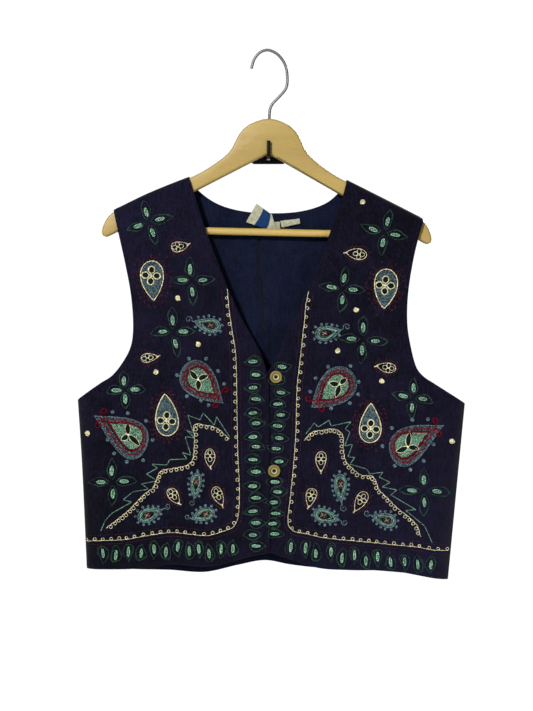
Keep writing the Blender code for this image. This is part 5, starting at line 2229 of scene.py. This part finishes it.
class FOLKVEST_OT_hanger(bpy.types.Operator):
    """Shape the wooden hanger, its trouser bar and its chromed wire hook"""

    bl_idname = "folkvest.hanger"
    bl_label = "Hanger"

    def execute(self, context):
        looks = context.scene.folk_vest_hanger
        woods = (looks.pale, looks.tan, looks.dark)
        beech = wood_finish("Varnished beech", 0, *woods, UNDERSIDE_SHADE)
        paler = [tuple(channel * ROD_PALER for channel in colour) for colour in woods]
        rod = wood_finish("Varnished dowel", 0, *paler)
        chrome = chrome_finish()
        hung = Matrix.Translation((0.0, -HANGER_DEPTH * MM, 0.0)) @ Matrix.Rotation(
            math.radians(HANGER_TILT), 4, "Y"
        )
        wood = rounded(slab("hanger_beech", self.outline(), HANGER_THICKNESS, beech), looks.edge, 5)
        reach = (BAR_HALF_LENGTH + BORE_CLEARANCE) * MM
        bar_height = BAR_HEIGHT * MM
        bore, wire_bore = (BAR_RADIUS + BORE_CLEARANCE) * MM, (WIRE_RADIUS + BORE_CLEARANCE) * MM
        bore_floor = (WIRE_ROUTE[0][1] - BORE_CLEARANCE) * MM
        bores = [
            cylinder("bar_bore", bore, (-reach, 0, bar_height), (reach, 0, bar_height), 40, beech),
            cylinder("wire_bore", wire_bore, (0, 0, bore_floor), (0, 0, WIRE_BORE_TOP * MM), 24, beech),
        ]
        wood = cut(wood, bores)
        wood.data.transform(hung)
        sharpened(wood.data, 35)
        carry(wood, "beech", "hanger_wood")

        half = BAR_HALF_LENGTH * MM
        bar = cylinder("hanger_rod", BAR_RADIUS * MM, (-half, 0, bar_height), (half, 0, bar_height), 48, rod)
        bar.data.transform(hung)
        sharpened(bar.data, 50)
        carry(bar, "beech", "hanger_bar")

        route = curve_through(WIRE_ROUTE)(np.linspace(0.0, 1.0, WIRE_POINTS + 1)) * MM
        wire = tube("hanger_wire", [(x, 0.0, z) for x, z in route], WIRE_RADIUS * MM, chrome, 8)
        self.round_end(wire, route)
        wire.data.transform(hung)
        carry(wire, "chrome", "hanger_hook")
        return {"FINISHED"}

    def outline(self):
        """The whole outline of the wood, from the top of the block round by the right."""
        top = curve_through(HANGER_TOP)(np.arange(TOP_STEPS) / TOP_STEPS)
        tip = curve_through(HANGER_TIP)(np.arange(TIP_STEPS) / TIP_STEPS)
        half = [*top, *tip, *np.array(HANGER_UNDER)]
        return half + [np.array((-point[0], point[1])) for point in reversed(half[1:-1])]

    def round_end(self, wire, route):
        """Draw the wire's open end to a short dome."""
        end = Vector((route[-1][0], 0.0, route[-1][1]))
        form = bmesh.new()
        form.from_mesh(wire.data)
        bmesh.ops.remove_doubles(form, verts=form.verts, dist=1e-7)
        caps = [face for face in form.faces if len(face.verts) > 4]
        caps = [face for face in caps if (face.calc_center_median() - end).length < 0.1 * MM]
        for cap in caps:
            bmesh.ops.bevel(
                form,
                geom=list(cap.edges),
                offset=0.8 * MM,
                segments=3,
                profile=0.5,
                affect="EDGES",
                clamp_overlap=True,
            )
        bmesh.ops.recalc_face_normals(form, faces=form.faces)
        form.to_mesh(wire.data)
        form.free()
        sharpened(wire.data, 50)


PLATE_WIDTH = 46.0
PLATE_BOTTOM = -9.6
PLATE_TOP = 36.0
PLATE_THICKNESS = 4.0
PLATE_CORNER = 4.0
ARM_WIDTH = 5.0
# Side outline of the arm and prong: depth, height
ARM_OUTLINE = (
    (2, -0.6), (28.6, -0.6), (28.6, 15.8), (29.3, 17.6), (31, 18.3), (32.7, 17.6), (33.4, 15.8), (33.4, -3.4),
    (32.4, -5.6), (30.4, -6.4), (2, -6.4),
)


class FOLKVEST_OT_wall_hook(bpy.types.Operator):
    """Make the plain black wall hook: a plate with an arm and an upturned prong"""

    bl_idname = "folkvest.wall_hook"
    bl_label = "Wall Hook"

    def execute(self, context):
        black = black_finish()
        plate = rounded(slab("wall_bracket", self.plate_outline(), PLATE_THICKNESS, black), 0.7 * MM, 3, 50.0)
        plate.data.transform(Matrix.Translation((0.0, -PLATE_THICKNESS / 2 * MM, 0.0)))
        arm = rounded(slab("bracket_arm", ARM_OUTLINE, ARM_WIDTH, black), 0.7 * MM, 3, 20.0)
        arm.data.transform(Matrix.Rotation(-math.pi / 2, 4, "Z"))
        made = cut(plate, [arm], "UNION")
        sharpened(made.data, 35)
        carry(made, "black", "wall_hook")
        return {"FINISHED"}

    def plate_outline(self):
        outline = []
        middle = (PLATE_TOP + PLATE_BOTTOM) / 2
        reach_across = PLATE_WIDTH / 2 - PLATE_CORNER
        reach_up = (PLATE_TOP - PLATE_BOTTOM) / 2 - PLATE_CORNER
        for i, (side, rise) in enumerate(((1, 1), (-1, 1), (-1, -1), (1, -1))):
            for j in range(9):
                angle = math.pi / 2 * (i + j / 8)
                across = side * reach_across + PLATE_CORNER * math.cos(angle)
                outline.append((across, middle + rise * reach_up + PLATE_CORNER * math.sin(angle)))
        return outline


class FOLKVEST_OT_stage(bpy.types.Operator):
    """Set up the bright backdrop, the pale floor, soft light and the camera"""

    bl_idname = "folkvest.stage"
    bl_label = "Stage"

    def execute(self, context):
        looks = context.scene.folk_vest_stage
        scene = context.scene
        scene.view_settings.view_transform = "Standard"
        self.room(scene, looks)
        self.light("Key", looks.key, 0.4, (-1.6, -3.4, 1.55), (0.0, 0.0, -0.25), (1.0, 0.98, 0.96))
        self.light("Fill", looks.fill, 1.0, (1.1, -1.3, -0.7), (0.0, 0.0, -0.3), (0.94, 0.97, 1.0))
        self.light("Back", looks.back, 1.0, (1.6, 3.0, 1.3), (0.0, 0.0, -0.25), (1.0, 1.0, 1.0))
        self.floor(looks.floor_height)
        self.camera(scene, looks.lens)
        return {"FINISHED"}

    def room(self, scene, looks):
        """Bright behind the vest, and dim all round."""
        world = bpy.data.worlds.new("White room")
        world.use_nodes = True
        scene.world = world
        world.node_tree.nodes.clear()
        nodes = Nodes(world.node_tree)
        way = nodes.add("ShaderNodeTexCoord", output="Generated")
        split = nodes.add("ShaderNodeSeparateXYZ", {}, {0: way})
        behind = split.other(1).step(0.915, 0.945)
        strength = behind * (looks.backdrop - looks.room) + looks.room
        glow = nodes.add("ShaderNodeBackground", {}, {"Color": (1.0, 1.0, 1.0), "Strength": strength})
        end = world.node_tree.nodes.new("ShaderNodeOutputWorld")
        world.node_tree.links.new(glow.socket, end.inputs["Surface"])

    def light(self, name, power, size, place, aim, colour):
        lamp = bpy.data.lights.new(name, "AREA")
        lamp.energy = power
        lamp.shape = "DISK"
        lamp.size = size
        lamp.color = colour
        made = linked(name, lamp)
        made.location = place
        made.rotation_euler = (Vector(aim) - Vector(place)).to_track_quat("-Z", "Y").to_euler()

    def floor(self, height):
        finish = Finish("Pale floor", {"Roughness": 0.8})
        grain = finish.noise(3.0, 2.0, 0.5)
        finish.colour(finish.mixed(grain, (0.78, 0.78, 0.77), (0.84, 0.84, 0.83)))
        verts = [(x, y, height) for x, y in ((-2.5, -2.5), (2.5, -2.5), (2.5, 0.9), (-2.5, 0.9))]
        made = mesh_object("floor", verts, [(0, 1, 2, 3)], finish.material, smooth=False)

    def camera(self, scene, lens):
        eye = bpy.data.cameras.new("Camera")
        eye.lens = lens
        made = linked("Camera", eye)
        made.location = tuple(value * MM for value in VIEW_POINT)
        made.rotation_euler = (math.pi / 2, 0.0, 0.0)
        scene.camera = made


OPERATORS = (
    FOLKVEST_OT_cloth,
    FOLKVEST_OT_embroidery,
    FOLKVEST_OT_buttons,
    FOLKVEST_OT_labels,
    FOLKVEST_OT_hanger,
    FOLKVEST_OT_wall_hook,
    FOLKVEST_OT_stage,
)
SETTINGS = {
    "folk_vest_cloth": FolkVestCloth,
    "folk_vest_threads": FolkVestThreads,
    "folk_vest_trim": FolkVestTrim,
    "folk_vest_hanger": FolkVestHanger,
    "folk_vest_stage": FolkVestStage,
}


class FOLKVEST_PT_panel(bpy.types.Panel):
    """Everything that makes the vest, piece by piece"""

    bl_idname = "FOLKVEST_PT_panel"
    bl_label = "Folk Vest"
    bl_space_type = "VIEW_3D"
    bl_region_type = "UI"
    bl_category = "Folk Vest"

    def draw(self, context):
        for name, group in SETTINGS.items():
            box = self.layout.box()
            box.label(text=group.__doc__)
            for prop in group.__annotations__:
                box.prop(getattr(context.scene, name), prop)
        for operator in OPERATORS:
            self.layout.operator(operator.bl_idname)


def register():
    for group in SETTINGS.values():
        bpy.utils.register_class(group)
    for name, group in SETTINGS.items():
        setattr(bpy.types.Scene, name, bpy.props.PointerProperty(type=group))
    for operator in (*OPERATORS, FOLKVEST_PT_panel):
        bpy.utils.register_class(operator)


def unregister():
    for operator in reversed((*OPERATORS, FOLKVEST_PT_panel)):
        bpy.utils.unregister_class(operator)
    for name in SETTINGS:
        delattr(bpy.types.Scene, name)
    for group in reversed(SETTINGS.values()):
        bpy.utils.unregister_class(group)


def main():
    register()
    bpy.ops.folkvest.cloth()
    bpy.ops.folkvest.embroidery()
    bpy.ops.folkvest.buttons()
    bpy.ops.folkvest.labels()
    bpy.ops.folkvest.hanger()
    bpy.ops.folkvest.wall_hook()
    bpy.ops.folkvest.stage()


if __name__ == "__main__":
    main()
